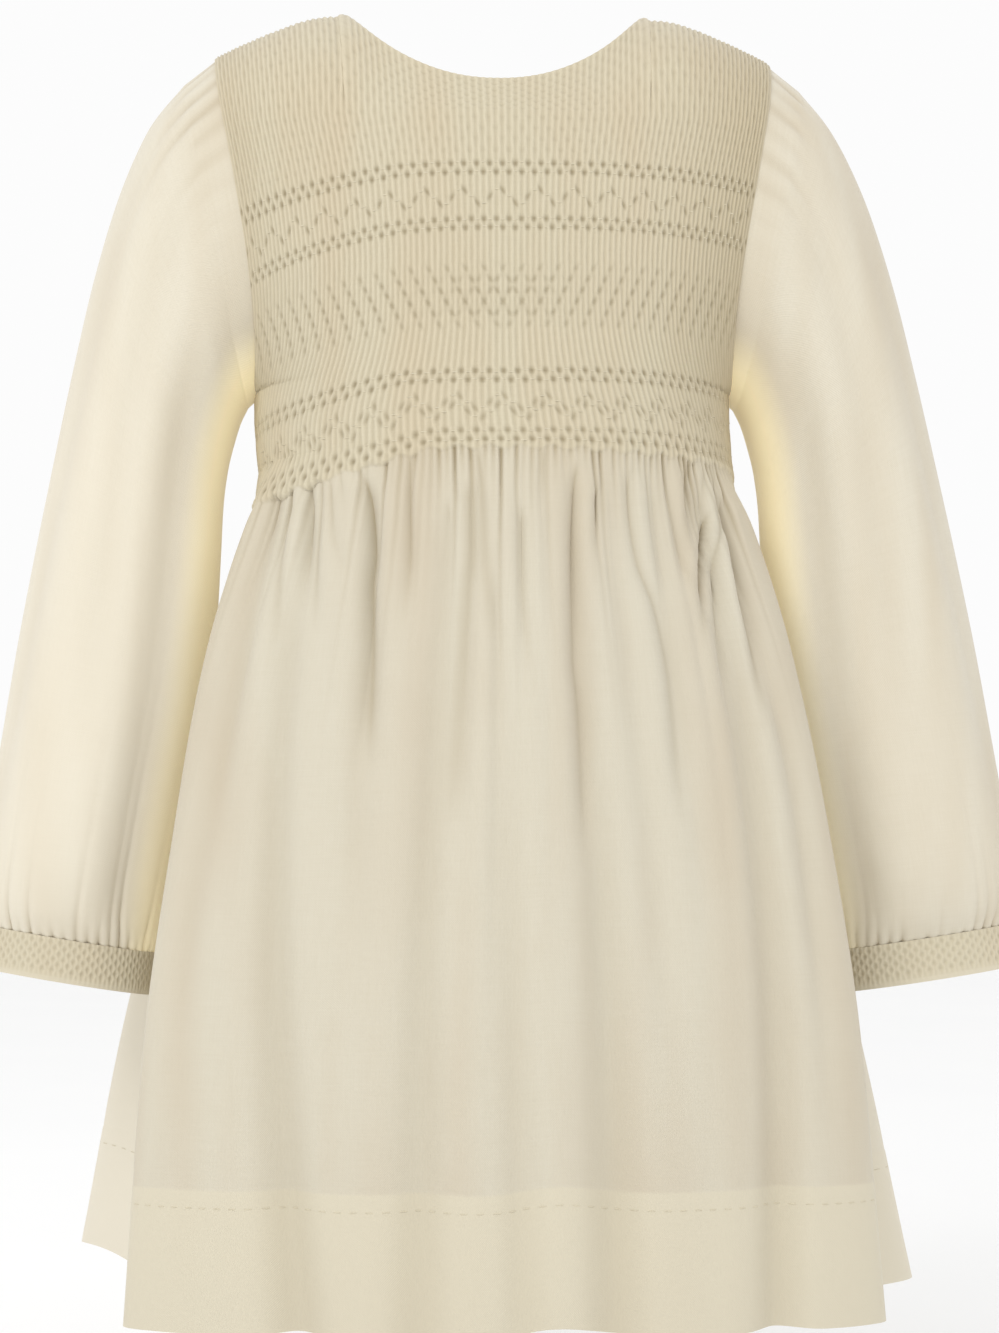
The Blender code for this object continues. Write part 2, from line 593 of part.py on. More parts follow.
def front(cloth):
    """The front: one cloth, smocked from the neckline to the waist and released as the skirt."""
    across = np.linspace(-1, 1, FRONT_COLUMNS)
    bodice, bodice_facing = bodice_panel(across, [row["level"] for row in SMOCKING], -1)
    skirt, skirt_facing, relief, hem = skirt_panel(-1, FRONT_COLUMNS, FRONT_FOLDS, bodice[-1])
    height = smocked_height(FRONT_COLUMNS)
    edges = (0, 1, 2, -3, -2, -1)
    height[:, edges] = np.minimum(height[:, edges], EDGE_HEIGHT)
    height[:, [0, -1]] = EDGE_HEIGHT
    bodice_outer = bodice + bodice_facing * (SMOCKED_BASE + SMOCKED_RAISE * height)[..., None]
    skirt_outer = skirt + skirt_facing * (CLOTH + relief)[..., None]
    kept = list(range(0, len(bodice) - 1, BODICE_INSIDE_STEP))
    bodice_inner = bodice[kept][:, ::BODICE_INSIDE_STEP]
    skirt_inner = set_in(skirt, skirt_facing, SKIRT_INSIDE_STEP)
    skirt_inner -= skirt_facing[:, ::SKIRT_INSIDE_STEP] * (hem * HEM_EXTRA)[:, None, None]
    pleated = list(bodice_outer) + list(skirt_outer[1:PLEATED_SKIRT_ROWS])
    plain = list(skirt_outer[PLEATED_SKIRT_ROWS:, ::SKIRT_INSIDE_STEP])
    wall("front", pleated + plain, list(bodice_inner) + list(skirt_inner), cloth)


def placket_lift(x):
    """How far the upper half of the back opening stands off the lower one."""
    return PLACKET_LIFT * ease((x + PLACKET_HALF_WIDTH + PLACKET_BLEND) / PLACKET_BLEND)


def back_bodice(cloth):
    """The two plain halves of the back bodice; they share the columns where they lap."""
    lap = PLACKET_HALF_WIDTH / SHOULDER_X
    half = np.linspace(lap, 1, BACK_HALF_COLUMNS)
    across = np.concatenate([-half[::-1], [0], half])
    levels = np.linspace(YOKE_LEVEL, WAIST_LEVEL, BACK_BODICE_ROWS)
    grid, facing = bodice_panel(across, levels, 1)
    for name, columns, lift in (
        ("back_bodice_left", slice(BACK_HALF_COLUMNS - 1, None), 0),
        ("back_bodice_right", slice(None, BACK_HALF_COLUMNS + 2), 1),
    ):
        out = facing[:, columns]
        inside = grid[:, columns] + out * (lift * placket_lift(grid[:, columns, 0]))[..., None]
        wall(name, inside + out * CLOTH, set_in(inside, out, 2), cloth)


def back_skirt(cloth):
    """The gathered back of the skirt, sewn to the back bodice at the waist."""
    dense = bodice_row(np.linspace(-1, 1, SKIRT_ROW_POINTS), WAIST_LEVEL, 1)
    waist = evenly(dense, BACK_SKIRT_COLUMNS)
    waist[:, 2] -= SEAM_GAP
    waist[[0, -1], 1] = SEAM_GAP / 2
    grid, facing, relief, hem = skirt_panel(1, BACK_SKIRT_COLUMNS, BACK_FOLDS, waist)
    facing[0] = square_to(facing[0], (0, 0, 1))
    inner = set_in(grid, facing, SKIRT_INSIDE_STEP)
    inner -= facing[:, ::SKIRT_INSIDE_STEP] * (hem * HEM_EXTRA)[:, None, None]
    wall("back_skirt", grid + facing * (CLOTH + relief)[..., None], inner, cloth)


# Sleeves and cuffs. hand is -1 for the wearer's right, at -X, and 1 for the left.

def armhole_ring(columns):
    """The sleeve's own edge at the armhole seam: it starts at the shoulder tip and goes by way of
    the front, and it stands off by as much as the bodice's edge is thick towards the arm."""
    turn = np.linspace(0, 2 * math.pi, columns, endpoint=False)
    ring = np.zeros((columns, 3))
    for side, thick in ((-1, SMOCKED_BASE + SMOCKED_RAISE * EDGE_HEIGHT), (1, CLOTH)):
        grid, facing = bodice_panel(np.linspace(-1, 1, FRONT_COLUMNS), ARMHOLE_LEVELS, side)
        chosen = np.sin(turn) > -1e-9 if side < 0 else np.sin(turn) < -1e-9
        x, y, z = armhole(np.cos(turn[chosen]), side)
        thick_towards_arm = np.interp(-z, -grid[:, -1, 2], facing[:, -1, 0] * thick)
        ring[chosen] = np.stack([x + thick_towards_arm + ARMHOLE_EASE, y, z], axis=1)
    return ring


def sleeve_ring(section, columns, folds=0.0):
    """One ring round the sleeve, an oval between its outer and inner edges."""
    turn = np.linspace(0, 2 * math.pi, columns, endpoint=False)
    outer = np.array([section["outer"][0], 0, section["outer"][1]])
    inner = np.array([section["inner"][0], 0, section["inner"][1]])
    half_width = np.linalg.norm(outer - inner) / 2
    across = (outer - inner) / (2 * half_width)
    ring = np.outer(np.cos(turn) * (half_width - folds), across)
    ring[:, 1] -= np.sin(turn) * (section["half_depth"] - folds)
    return (outer + inner) / 2 + ring


def sleeve_folds(share, columns):
    """Depth of the sleeve's long folds round one ring; share is 0 at the cap and 1 at the cuff."""
    turn = np.degrees(np.linspace(0, 2 * math.pi, columns, endpoint=False))
    total = np.zeros(columns)
    for fold in SLEEVE_FOLDS:
        start, end = fold["runs"]
        away = (turn - fold["around"] - fold["twist"] * share + 180) % 360 - 180
        kept = np.clip((share - start) / SLEEVE_FOLD_RISE + SLEEVE_FOLD_AT_END, 0, 1)
        kept *= np.clip((end - share) / SLEEVE_FOLD_RISE + SLEEVE_FOLD_AT_END, 0, 1)
        total += fold["deep"] * kept * np.exp(-((away / fold["wide"]) ** 2))
    return total


def placed(points, hand):
    """Points of the left sleeve, or mirrored for the right one, which hangs a little closer."""
    if hand > 0:
        return points
    points = points * np.array([-1, 1, 1])
    points[..., 0] += RIGHT_ARM_CLOSER * np.maximum(-points[..., 0] - RIGHT_ARM_FROM, 0)
    return points


def cuff_axes():
    """The line across the top of the left cuff, and the way from there down the arm."""
    across = np.subtract(SLEEVE[-1]["outer"], SLEEVE[-1]["inner"])
    across = across / np.linalg.norm(across)
    return np.array([across[0], 0, across[1]]), np.array([across[1], 0, -across[0]])


def sleeve(name, hand, cloth):
    """A full sleeve, gathered a little at its cap and into its cuff."""
    last = len(SLEEVE) - 1
    rings = [armhole_ring(SLEEVE_COLUMNS)]
    for k, section in enumerate(SLEEVE):
        folds = sleeve_folds(k / last, SLEEVE_COLUMNS) * (k < last)
        rings.append(sleeve_ring(section, SLEEVE_COLUMNS, folds))
    grid = np.array(rings)
    facing = normals(grid[:, ::-1], closed=True)[:, ::-1]
    facing[0] = square_to(facing[0], (1, 0, 0))
    facing[-1] = square_to(facing[-1], cuff_axes()[1])
    share = np.concatenate([[0], np.arange(last + 1) / last])
    fade = np.exp(-(((1 - share) / CUFF_PLEAT_FADE) ** 2))
    fade += CAP_PLEAT_SHARE * np.exp(-((share / CAP_PLEAT_FADE) ** 2))
    relief = fade[:, None] * SLEEVE_PLEAT_RAISE * (np.arange(SLEEVE_COLUMNS) % 2 == 0)
    outer = placed(grid + facing * (CLOTH + relief)[..., None], hand)
    inner = placed(set_in(grid, facing, 2, closed=True), hand)
    wall(name, outer, inner, cloth, closed=True)


def cuff(name, hand, cloth):
    """The smocked cuff below the sleeve, a band of staggered pleats over a plain inside."""
    across, away = (axis[[0, 2]] for axis in cuff_axes())
    rings = []
    for row in range(CUFF_ROWS):
        share = row / (CUFF_ROWS - 1)
        shift = away * (CUFF_HEIGHT * share + 2 * SEAM_GAP)
        spread = CUFF_FLARE * share - CUFF_EASE
        rings.append(sleeve_ring({
            "outer": SLEEVE[-1]["outer"] + shift + across * spread,
            "inner": SLEEVE[-1]["inner"] + shift - across * spread,
            "half_depth": SLEEVE[-1]["half_depth"] + spread,
        }, CUFF_COLUMNS))
    grid = np.array(rings)
    facing = square_to(normals(grid[:, ::-1], closed=True)[:, ::-1], cuff_axes()[1])
    rows, columns = np.indices((CUFF_ROWS, CUFF_COLUMNS))
    stitch = STITCH_HEIGHT["cuff"]
    height = np.where((rows + columns) % 2, stitch["pleat"], stitch["hole"])
    height[-1] = CUFF_EDGE_HEIGHT
    outer = placed(grid + facing * (SMOCKED_BASE + SMOCKED_RAISE * height)[..., None], hand)
    wall(name, outer, placed(grid[[0, -1]][:, ::2], hand), cloth, closed=True)


# Buttons

def button_blank(name, level, shell):
    """A flat round disc seated on the lapped back opening."""
    levels = np.linspace(YOKE_LEVEL, WAIST_LEVEL, BACK_BODICE_ROWS)
    grid, facing = bodice_panel(np.linspace(-1, 1, BACK_HALF_COLUMNS), levels, 1)
    middle, out = (points[:, BACK_HALF_COLUMNS // 2] for points in (grid, facing))
    y = np.interp(-level, -middle[:, 2], middle[:, 1])
    slopes = np.arctan2(out[:, 2], out[:, 1])
    slope = np.interp(-level, -middle[:, 2], slopes)
    mesh = bmesh.new()
    bmesh.ops.create_cone(
        mesh,
        cap_ends=True,
        segments=BUTTON_SIDES,
        radius1=BUTTON_RADIUS,
        radius2=BUTTON_RADIUS * BUTTON_RIM_SHARE,
        depth=BUTTON_THICKNESS,
    )
    thing = add_object(name, mesh, shell)
    thing.rotation_euler = (-math.pi / 2 + slope, 0, 0)
    off = PLACKET_LIFT + CLOTH + SEAM_GAP + BUTTON_EASE + BUTTON_THICKNESS / 2
    thing.location = (0, y + off * math.cos(slope), level + off * math.sin(slope))
    return thing


def button(name, level, shell):
    """A flat two-eyed shell button."""
    thing = button_blank(name, level, shell)
    for number, way in enumerate((-1, 1), 1):
        drill = bmesh.new()
        bmesh.ops.create_cone(
            drill,
            cap_ends=True,
            segments=BUTTON_EYE_SIDES,
            radius1=BUTTON_EYE_RADIUS,
            radius2=BUTTON_EYE_RADIUS,
            depth=BUTTON_THICKNESS * 3,
        )
        bmesh.ops.translate(drill, verts=drill.verts, vec=(way * BUTTON_EYE_SPACING, 0, 0))
        data = bpy.data.meshes.new(f"{name}_eye_{number}")
        drill.to_mesh(data)
        drill.free()
        cutter = bpy.data.objects.new(f"{name}_eye_{number}", data)
        cutter.location = thing.location
        cutter.rotation_euler = thing.rotation_euler
        cutter.hide_render = True
        cutter.display_type = "WIRE"
        CUTTERS.objects.link(cutter)
        cut = thing.modifiers.new(f"eye_{number}", "BOOLEAN")
        cut.operation = "DIFFERENCE"
        cut.object = cutter


def dress():
    """Makes every piece of the dress."""
    cotton = add_material("ivory_cotton", COTTON, 0.85)
    smocked = add_material("smocked_cotton", SMOCKED_COTTON, 0.9)
    shell = add_material("shell", SHELL, 0.3)
    front(smocked)
    back_bodice(cotton)
    back_skirt(cotton)
    for hand, word in ((-1, "right"), (1, "left")):
        sleeve(f"sleeve_{word}", hand, cotton)
        cuff(f"cuff_{word}", hand, smocked)
    for number, level in enumerate(BUTTON_LEVELS, 1):
        button(f"button_{number}", level, shell)


for old in list(bpy.data.objects):
    bpy.data.objects.remove(old)
DRESS = bpy.data.collections.new("smocked_dress")
CUTTERS = bpy.data.collections.new("cutters")
bpy.context.scene.collection.children.link(DRESS)
bpy.context.scene.collection.children.link(CUTTERS)
dress()
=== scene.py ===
import math
import bmesh
import bpy
import numpy as np
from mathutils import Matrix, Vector


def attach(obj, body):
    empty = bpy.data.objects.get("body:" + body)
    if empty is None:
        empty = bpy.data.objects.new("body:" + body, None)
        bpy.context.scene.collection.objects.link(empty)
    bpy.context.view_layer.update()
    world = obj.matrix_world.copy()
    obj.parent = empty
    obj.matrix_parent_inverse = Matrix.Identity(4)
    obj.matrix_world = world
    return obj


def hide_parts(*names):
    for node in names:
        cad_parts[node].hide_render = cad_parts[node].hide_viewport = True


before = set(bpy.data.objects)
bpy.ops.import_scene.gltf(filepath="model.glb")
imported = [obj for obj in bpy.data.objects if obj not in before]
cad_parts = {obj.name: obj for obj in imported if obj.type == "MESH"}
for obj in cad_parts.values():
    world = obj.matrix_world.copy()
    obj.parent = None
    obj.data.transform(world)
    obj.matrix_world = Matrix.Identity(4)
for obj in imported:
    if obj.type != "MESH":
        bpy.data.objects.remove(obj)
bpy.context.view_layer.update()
print("frame loaded")

# Sizes are in metres; side is -1 for the front and 1 for the back, hand -1 for the wearer's right

cloth = {
    "seamGap": 0.0003,
    "thick": 0.0014,
    "smockedBase": 0.0012,
    "smockedRaise": 0.0014,
    "hemDeep": 0.062,
    "sharpAngle": math.radians(60),
}

neck = {
    "halfWidth": 0.0715,
    "pointZ": -0.0015,
    "curve": 2.2,
    "shoulderX": 0.129,
    "shoulderDrop": 0.0225,
    "shoulderBulge": 1.3,
    "roundFrom": 0.04,
    "roundOver": 0.05,
    "deep": {-1: 0.058, 1: 0.048},
    "drop": {-1: 0.0435, 1: 0.0245},
}

armhole = {
    "x": 0.1192,
    "z": -0.1003,
    "halfHeight": 0.0777,
    "lean": 0.0098,
    "scoop": 0.004,
    "deep": {-1: 0.048, 1: 0.044},
}
underarmZ = armhole["z"] - armhole["halfHeight"]

bodice = {
    "yokeLevel": -0.060,
    "waistLevel": -0.2105,
    "waistHalfWidth": 0.1085,
    "waistLean": 0.002,
    "rowDroop": 0.006,
    "droopBlend": 0.020,
    "droopAtYoke": 0.3,
    "rightSag": 0.010,
    "sagLevel": -0.112,
    "sagReach": 0.035,
    "levels": [-0.060, -0.090, -0.120, -0.150, -0.178, -0.2105],
    "chest": {
        -1: [0.068, 0.077, 0.081, 0.083, 0.0845, 0.0875],
        1: [0.056, 0.063, 0.068, 0.070, 0.071, 0.070],
    },
    # each level's arc turns a quarter circle, less a twelfth of one where its share is 1
    "turned": [-0.060, -0.090, -0.120, -0.140, -0.155, -0.170, -0.185, -0.198, -0.2105],
    "turnedShare": [0.855, 0.991, 0.967, 0.860, 0.730, 0.520, 0.270, 0.080, 0.0],
    "yokeWrap": 1.123,
    # powers of across by which a row's ends slide to the armhole, below the yoke line and above it
    "sideSlide": 7,
    "yokeSlide": 6,
}


def monotone(knots, values, at):
    # cubic through values at rising knots, each slope the harmonic mean of the two rises beside it
    knots, values = np.asarray(knots, float), np.asarray(values, float)
    step = np.diff(knots)
    rise = np.diff(values) / step
    before, after = rise[:-1], rise[1:]
    product = before * after
    inner = np.where(product > 0, 2 * product / np.where(product > 0, before + after, 1), 0)
    slope = np.concatenate([rise[:1], inner, rise[-1:]])
    at = np.clip(np.asarray(at, float), knots[0], knots[-1])
    k = np.clip(np.searchsorted(knots, at, side="right") - 1, 0, len(knots) - 2)
    t = (at - knots[k]) / step[k]
    ends = values[k] * (1 + 2 * t) * (1 - t) ** 2 + values[k + 1] * t * t * (3 - 2 * t)
    return ends + step[k] * t * (1 - t) * (slope[k] * (1 - t) - slope[k + 1] * t)


def ease(value):
    # smooth step 3v² - 2v³ from 0 to 1
    value = np.clip(value, 0, 1)
    return value * value * (3 - 2 * value)


def bump(away, wide):
    # bell curve exp(-(away / wide)²)
    return np.exp(-((away / wide) ** 2))


def unit(vectors):
    return vectors / np.linalg.norm(vectors, axis=-1, keepdims=True)


def outwards(grid, side=-1, closed=False):
    # cross product of the way down and the way across, turned over on the back
    if closed:
        across = np.roll(grid, -1, axis=1) - np.roll(grid, 1, axis=1)
    else:
        across = np.gradient(grid, axis=1)
    return -side * unit(np.cross(np.gradient(grid, axis=0), across))


def squareTo(vectors, axis):
    # vectors with their part along the axis taken away
    axis = np.asarray(axis, float)
    return unit(vectors - (vectors @ axis)[..., None] * axis)


def fullTurn(count):
    return np.linspace(0, 2 * math.pi, count, endpoint=False)


def smockedWall(height):
    # thickness of the wall for a relief from 0 to 1
    return cloth["smockedBase"] + cloth["smockedRaise"] * height


# Surfaces of the bodice

def armholePoint(cosine, side):
    # leaning oval: x leans with height and is scooped by sine squared, y follows sine, z cosine
    sine = np.sqrt(np.clip(1 - cosine**2, 0, 1))
    x = armhole["x"] + armhole["lean"] * cosine - armhole["scoop"] * sine**2 * (1 - cosine)
    return x, side * armhole["deep"][side] * sine, armhole["z"] + armhole["halfHeight"] * cosine


def bodiceSurface(across, level, side):
    # an arc through both edges and the middle at each level, with its edges on a smoothed armhole; the row
    # sags with the square of across, and its last part slides round the side to the real armhole
    sag = bodice["rightSag"] * bump(level - bodice["sagLevel"], bodice["sagReach"])
    sag = (bodice["rowDroop"] + (across < 0) * (side < 0) * sag) * across**2
    sag = sag * ease((bodice["yokeLevel"] - level) / bodice["droopBlend"] + bodice["droopAtYoke"])
    cosine = np.clip((level - sag - armhole["z"]) / armhole["halfHeight"], -1, 1)
    edgeX, edgeY, _ = armholePoint(cosine, side)
    sideHigh = underarmZ - bodice["waistLevel"]
    edgeX = edgeX + (bodice["waistHalfWidth"] - edgeX) * np.clip((underarmZ - level + sag) / sideHigh, 0, 1)
    below = np.clip((underarmZ - level) / sideHigh, 0, 1)
    middle = side * monotone(-np.array(bodice["levels"]), bodice["chest"][side], -level)
    turned = monotone(-np.array(bodice["turned"]), bodice["turnedShare"], -level)
    softY = side * armhole["deep"][side] * turned
    wrap = math.pi / 2 - math.pi / 6 * turned
    x = edgeX * np.sin(wrap * across) / np.sin(wrap) + bodice["waistLean"] * below**2
    y = middle + (softY - middle) * (1 - np.cos(wrap * across)) / (1 - np.cos(wrap))
    y = y + (edgeY - softY) * np.abs(across) ** bodice["sideSlide"]
    return np.stack(np.broadcast_arrays(x, y, level - sag), axis=-1)


def topEdge(across, side):
    # neckline as a bowl of the power curve, then a bulging line down the shoulder; the front's columns are
    # spread like those of the yoke line below, by the sine, so that its ribs run straight
    spread = across if side > 0 else np.sin(bodice["yokeWrap"] * across) / math.sin(bodice["yokeWrap"])
    x = spread * neck["shoulderX"]
    away = np.abs(x)
    beyond = np.clip((away - neck["halfWidth"]) / (neck["shoulderX"] - neck["halfWidth"]), 0, 1)
    bowl = np.sqrt(1 - np.clip(away / neck["halfWidth"], 0, 1) ** neck["curve"])
    y = side * np.maximum(neck["deep"][side] * bowl, cloth["seamGap"] / 2)
    z = neck["pointZ"] - (neck["drop"][side] + neck["pointZ"]) * bowl**2
    z = z - (neck["shoulderDrop"] + neck["pointZ"]) * beyond ** neck["shoulderBulge"]
    return np.stack([x, y, z], axis=-1)


def yokeSurface(across, share, side):
    # between the top edge and the yoke line, turning over the shoulder by a quarter circle
    top = topEdge(across, side)
    reach = bodiceSurface(across, np.array(bodice["yokeLevel"]), side) - top
    over = ease((np.abs(top[..., 0]) - neck["roundFrom"]) / neck["roundOver"])
    turn = share * math.pi / 2
    grid = top + reach * share[..., None]
    grid[..., 1] += reach[..., 1] * (np.sin(turn) - share) * over
    grid[..., 2] += reach[..., 2] * (1 - np.cos(turn) - share) * over
    lowest = math.acos((bodice["yokeLevel"] - armhole["z"]) / armhole["halfHeight"])
    x, y, z = armholePoint(np.cos(share * lowest), side)
    for end, way in ((0, -1), (-1, 1)):
        if abs(across[0, end]) < 1:
            continue
        target = np.stack([way * x, y, z], axis=-1)
        near = np.clip(across * way, 0, 1) ** bodice["yokeSlide"]
        grid += (target - grid[:, end][:, None]) * near[..., None]
    return grid


def bodicePanel(across, shares, levels, side):
    # rows of the yoke, then rows of the bodice, with the facing of each point
    across = np.asarray(across)[None, :]
    yoke = yokeSurface(across, np.asarray(shares)[:, None], side)
    grid = np.concatenate([yoke, bodiceSurface(across, np.asarray(levels)[:, None], side)])
    facing = outwards(grid, side)
    atSeam = np.abs(grid[..., 1]) < cloth["seamGap"]
    atSeam[1:, 1:-1] = False
    facing[atSeam] = squareTo(facing[atSeam], (0, 1, 0))
    grid[atSeam, 1] = side * cloth["seamGap"] / 2
    return grid, facing


# Mesh making

def gridCorners(rows, columns, closed):
    # the four corners of every face of a grid as (row, column), the last column running on past a seam
    row, column = np.meshgrid(np.arange(rows - 1), np.arange(columns - (0 if closed else 1)), indexing="ij")
    corners = [(row, column), (row + 1, column), (row + 1, column + 1), (row, column + 1)]
    return np.array(corners).transpose(2, 3, 0, 1).reshape(-1, 4, 2)


def rimFaces(fine, coarse):
    # fans from a coarse line of points to a finer one with a whole number of steps for each of its own
    step = (len(fine) - 1) // (len(coarse) - 1)
    along = np.arange(len(fine) - 1)
    fans = np.stack([fine[:-1], fine[1:], coarse[along // step]], axis=1)
    closing = np.stack([coarse[:-1], coarse[1:], fine[step::step]], axis=1)
    return np.concatenate([fans, closing])


def meshPiece(name, points, faces, material, marks=None, cornerUv=None):
    # a closed mesh with its marks at the points and every face turned outwards, placed as a piece
    mesh = bpy.data.meshes.new(name)
    mesh.from_pydata(points.tolist(), [], faces)
    if cornerUv is not None:
        layer = mesh.uv_layers.new(name="cloth")
        layer.uv.foreach_set("vector", cornerUv.astype(np.float32).ravel())
    for key, values in (marks or {}).items():
        mesh.attributes.new(key, "FLOAT", "POINT").data.foreach_set("value", values.astype(np.float32))
    work = bmesh.new()
    work.from_mesh(mesh)
    bmesh.ops.recalc_face_normals(work, faces=work.faces)
    work.to_mesh(mesh)
    work.free()
    mesh.materials.append(material)
    mesh.shade_smooth()
    mesh.set_sharp_from_angle(angle=cloth["sharpAngle"])
    piece = bpy.data.objects.new(name, mesh)
    bpy.context.scene.collection.objects.link(piece)
    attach(piece, "root")
    return piece


def gridPart(grid, uv, first, closed):
    # the point numbers of a grid, its seam closed, and its faces with the UV of their corners
    rows, columns = grid.shape[:2]
    loop = first + np.arange(rows * columns).reshape(rows, columns)
    if closed:
        loop = np.concatenate([loop, loop[:, :1]], axis=1)
    corners = tuple(gridCorners(rows, columns, closed).T)
    return loop, loop[corners].T, uv[corners].transpose(1, 0, 2)


def clothShell(name, outer, inner, uv, marks, material, closed=False):
    # a closed wall: a fine outer grid, an inner grid with every few of its rows and columns, and rims
    rows, columns = outer.shape[:2]
    innerRows, innerColumns = inner.shape[:2]
    stepRows = (rows - 1) // (innerRows - 1)
    stepColumns = columns // innerColumns if closed else (columns - 1) // (innerColumns - 1)
    innerUv = uv[::stepRows, ::stepColumns]
    fine, fineQuads, fineUv = gridPart(outer, uv, 0, closed)
    coarse, coarseQuads, coarseUv = gridPart(inner, innerUv, rows * columns, closed)
    rims = [rimFaces(fine[0], coarse[0]), rimFaces(fine[-1], coarse[-1])]
    if not closed:
        rims += [rimFaces(fine[:, 0], coarse[:, 0]), rimFaces(fine[:, -1], coarse[:, -1])]
    rims = np.concatenate(rims)
    faces = fineQuads.tolist() + coarseQuads[:, ::-1].tolist() + rims.tolist()
    pointUv = np.concatenate([uv[:, :columns].reshape(-1, 2), innerUv[:, :innerColumns].reshape(-1, 2)])
    uvs = (fineUv, coarseUv[:, ::-1], pointUv[rims])
    cornerUv = np.concatenate([part.reshape(-1, 2) for part in uvs])
    both = {}
    for key, values in marks.items():
        values = np.broadcast_to(values, (rows, columns))
        both[key] = np.concatenate([values.ravel(), values[::stepRows, ::stepColumns].ravel()])
    points = np.concatenate([outer.reshape(-1, 3), inner.reshape(-1, 3)])
    return meshPiece(name, points, faces, material, both, cornerUv)


def tubeQuads(rings, sides):
    # faces between rings of points, which are numbered one ring after another
    corners = gridCorners(rings, sides, True)
    return corners[..., 0] * sides + corners[..., 1] % sides


def capFan(first, sides, tip):
    # triangles from the ring that starts with the first point to a single point
    around = np.arange(sides)
    return np.stack([around + first, (around + 1) % sides + first, np.full(sides, tip)], axis=1)


threadForm = {
    "sides": 6,
    # where its rings are along it, and their share of the radius
    "places": [0, 0.2, 0.8, 1],
    "widths": [0.6, 1, 1, 0.6],
    "tip": 0.5,
    # how far a thread's middle is lifted off the cloth, and the radius of each kind
    "lift": 0.00008,
    "smockedLift": 0.00005,
    "smocked": 0.00024,
    "running": 0.00020,
    "buttonhole": 0.00032,
    "button": 0.00030,
}


def bars(name, starts, ends, outs, radius, slot):
    # small rounded threads: rings of points along each, smaller at the ends, and a point at both ends
    places, widths = np.array(threadForm["places"]), np.array(threadForm["widths"])
    sides, last = threadForm["sides"], threadForm["sides"] * len(places)
    along = unit(ends - starts)
    sideways = unit(np.cross(along, outs))
    upwards = np.cross(sideways, along)
    turn = (np.arange(sides) * 2 * math.pi / sides)[None, :, None]
    ring = np.cos(turn) * sideways[:, None] + np.sin(turn) * upwards[:, None]
    centres = starts[:, None] + (ends - starts)[:, None] * places[None, :, None]
    points = centres[:, :, None] + radius * widths[None, :, None, None] * ring[:, None]
    beyond = along * radius * threadForm["tip"]
    tips = np.stack([starts - beyond, ends + beyond], axis=1)
    points = np.concatenate([points.reshape(len(starts), last, 3), tips], axis=1).reshape(-1, 3)
    caps = np.concatenate([capFan(0, sides, last), capFan(last - sides, sides, last + 1)])
    first = (np.arange(len(starts)) * (last + 2))[:, None, None]
    faces = []
    for part in (tubeQuads(len(places), sides), caps):
        faces += (part[None] + first).reshape(-1, part.shape[1]).tolist()
    piece = meshPiece(name, points, faces, thread)


def onCloth(outer, x, z):
    # points of an upright grid at x and z, from the four grid points round each
    middle = outer[:, outer.shape[1] // 2]
    row = np.interp(-z, -middle[:, 2], np.arange(len(outer)))
    down = np.clip(row.astype(int), 0, len(outer) - 2)
    column = np.interp(x, outer[int(row.mean()), :, 0], np.arange(outer.shape[1]))
    along = np.clip(column.astype(int), 0, outer.shape[1] - 2)
    r, c = (row - down)[:, None], (column - along)[:, None]
    above = outer[down, along] * (1 - c) + outer[down, along + 1] * c
    return above * (1 - r) + (outer[down + 1, along] * (1 - c) + outer[down + 1, along + 1] * c) * r


def runOf(grid, axis):
    # distance along the middle line of a grid, which its UV map counts in metres
    line = grid[:, grid.shape[1] // 2] if axis == 0 else grid[grid.shape[0] // 2]
    return np.concatenate([[0], np.cumsum(np.linalg.norm(np.diff(line, axis=0), axis=1))])


def clothUv(grid, closed=False):
    across = runOf(grid, 1)
    if closed:
        across = np.append(across, across[-1] + across[1])
    return np.stack(np.meshgrid(across, -runOf(grid, 0)), axis=-1)


# Materials

class Signal:
    # wraps a shader socket so that an expression on it adds Math nodes
    def __init__(self, maker, socket):
        self.maker, self.socket = maker, socket

    def maths(self, operation, *values):
        found = self.maker.node("ShaderNodeMath", {"operation": operation}, dict(enumerate(values)))
        return Signal(self.maker, found.outputs[0])

    def __add__(self, other):
        return self.maths("ADD", self, other)

    def __sub__(self, other):
        return self.maths("SUBTRACT", self, other)

    def __rsub__(self, other):
        return self.maths("SUBTRACT", other, self)

    def __mul__(self, other):
        return self.maths("MULTIPLY", self, other)

    __radd__, __rmul__ = __add__, __mul__


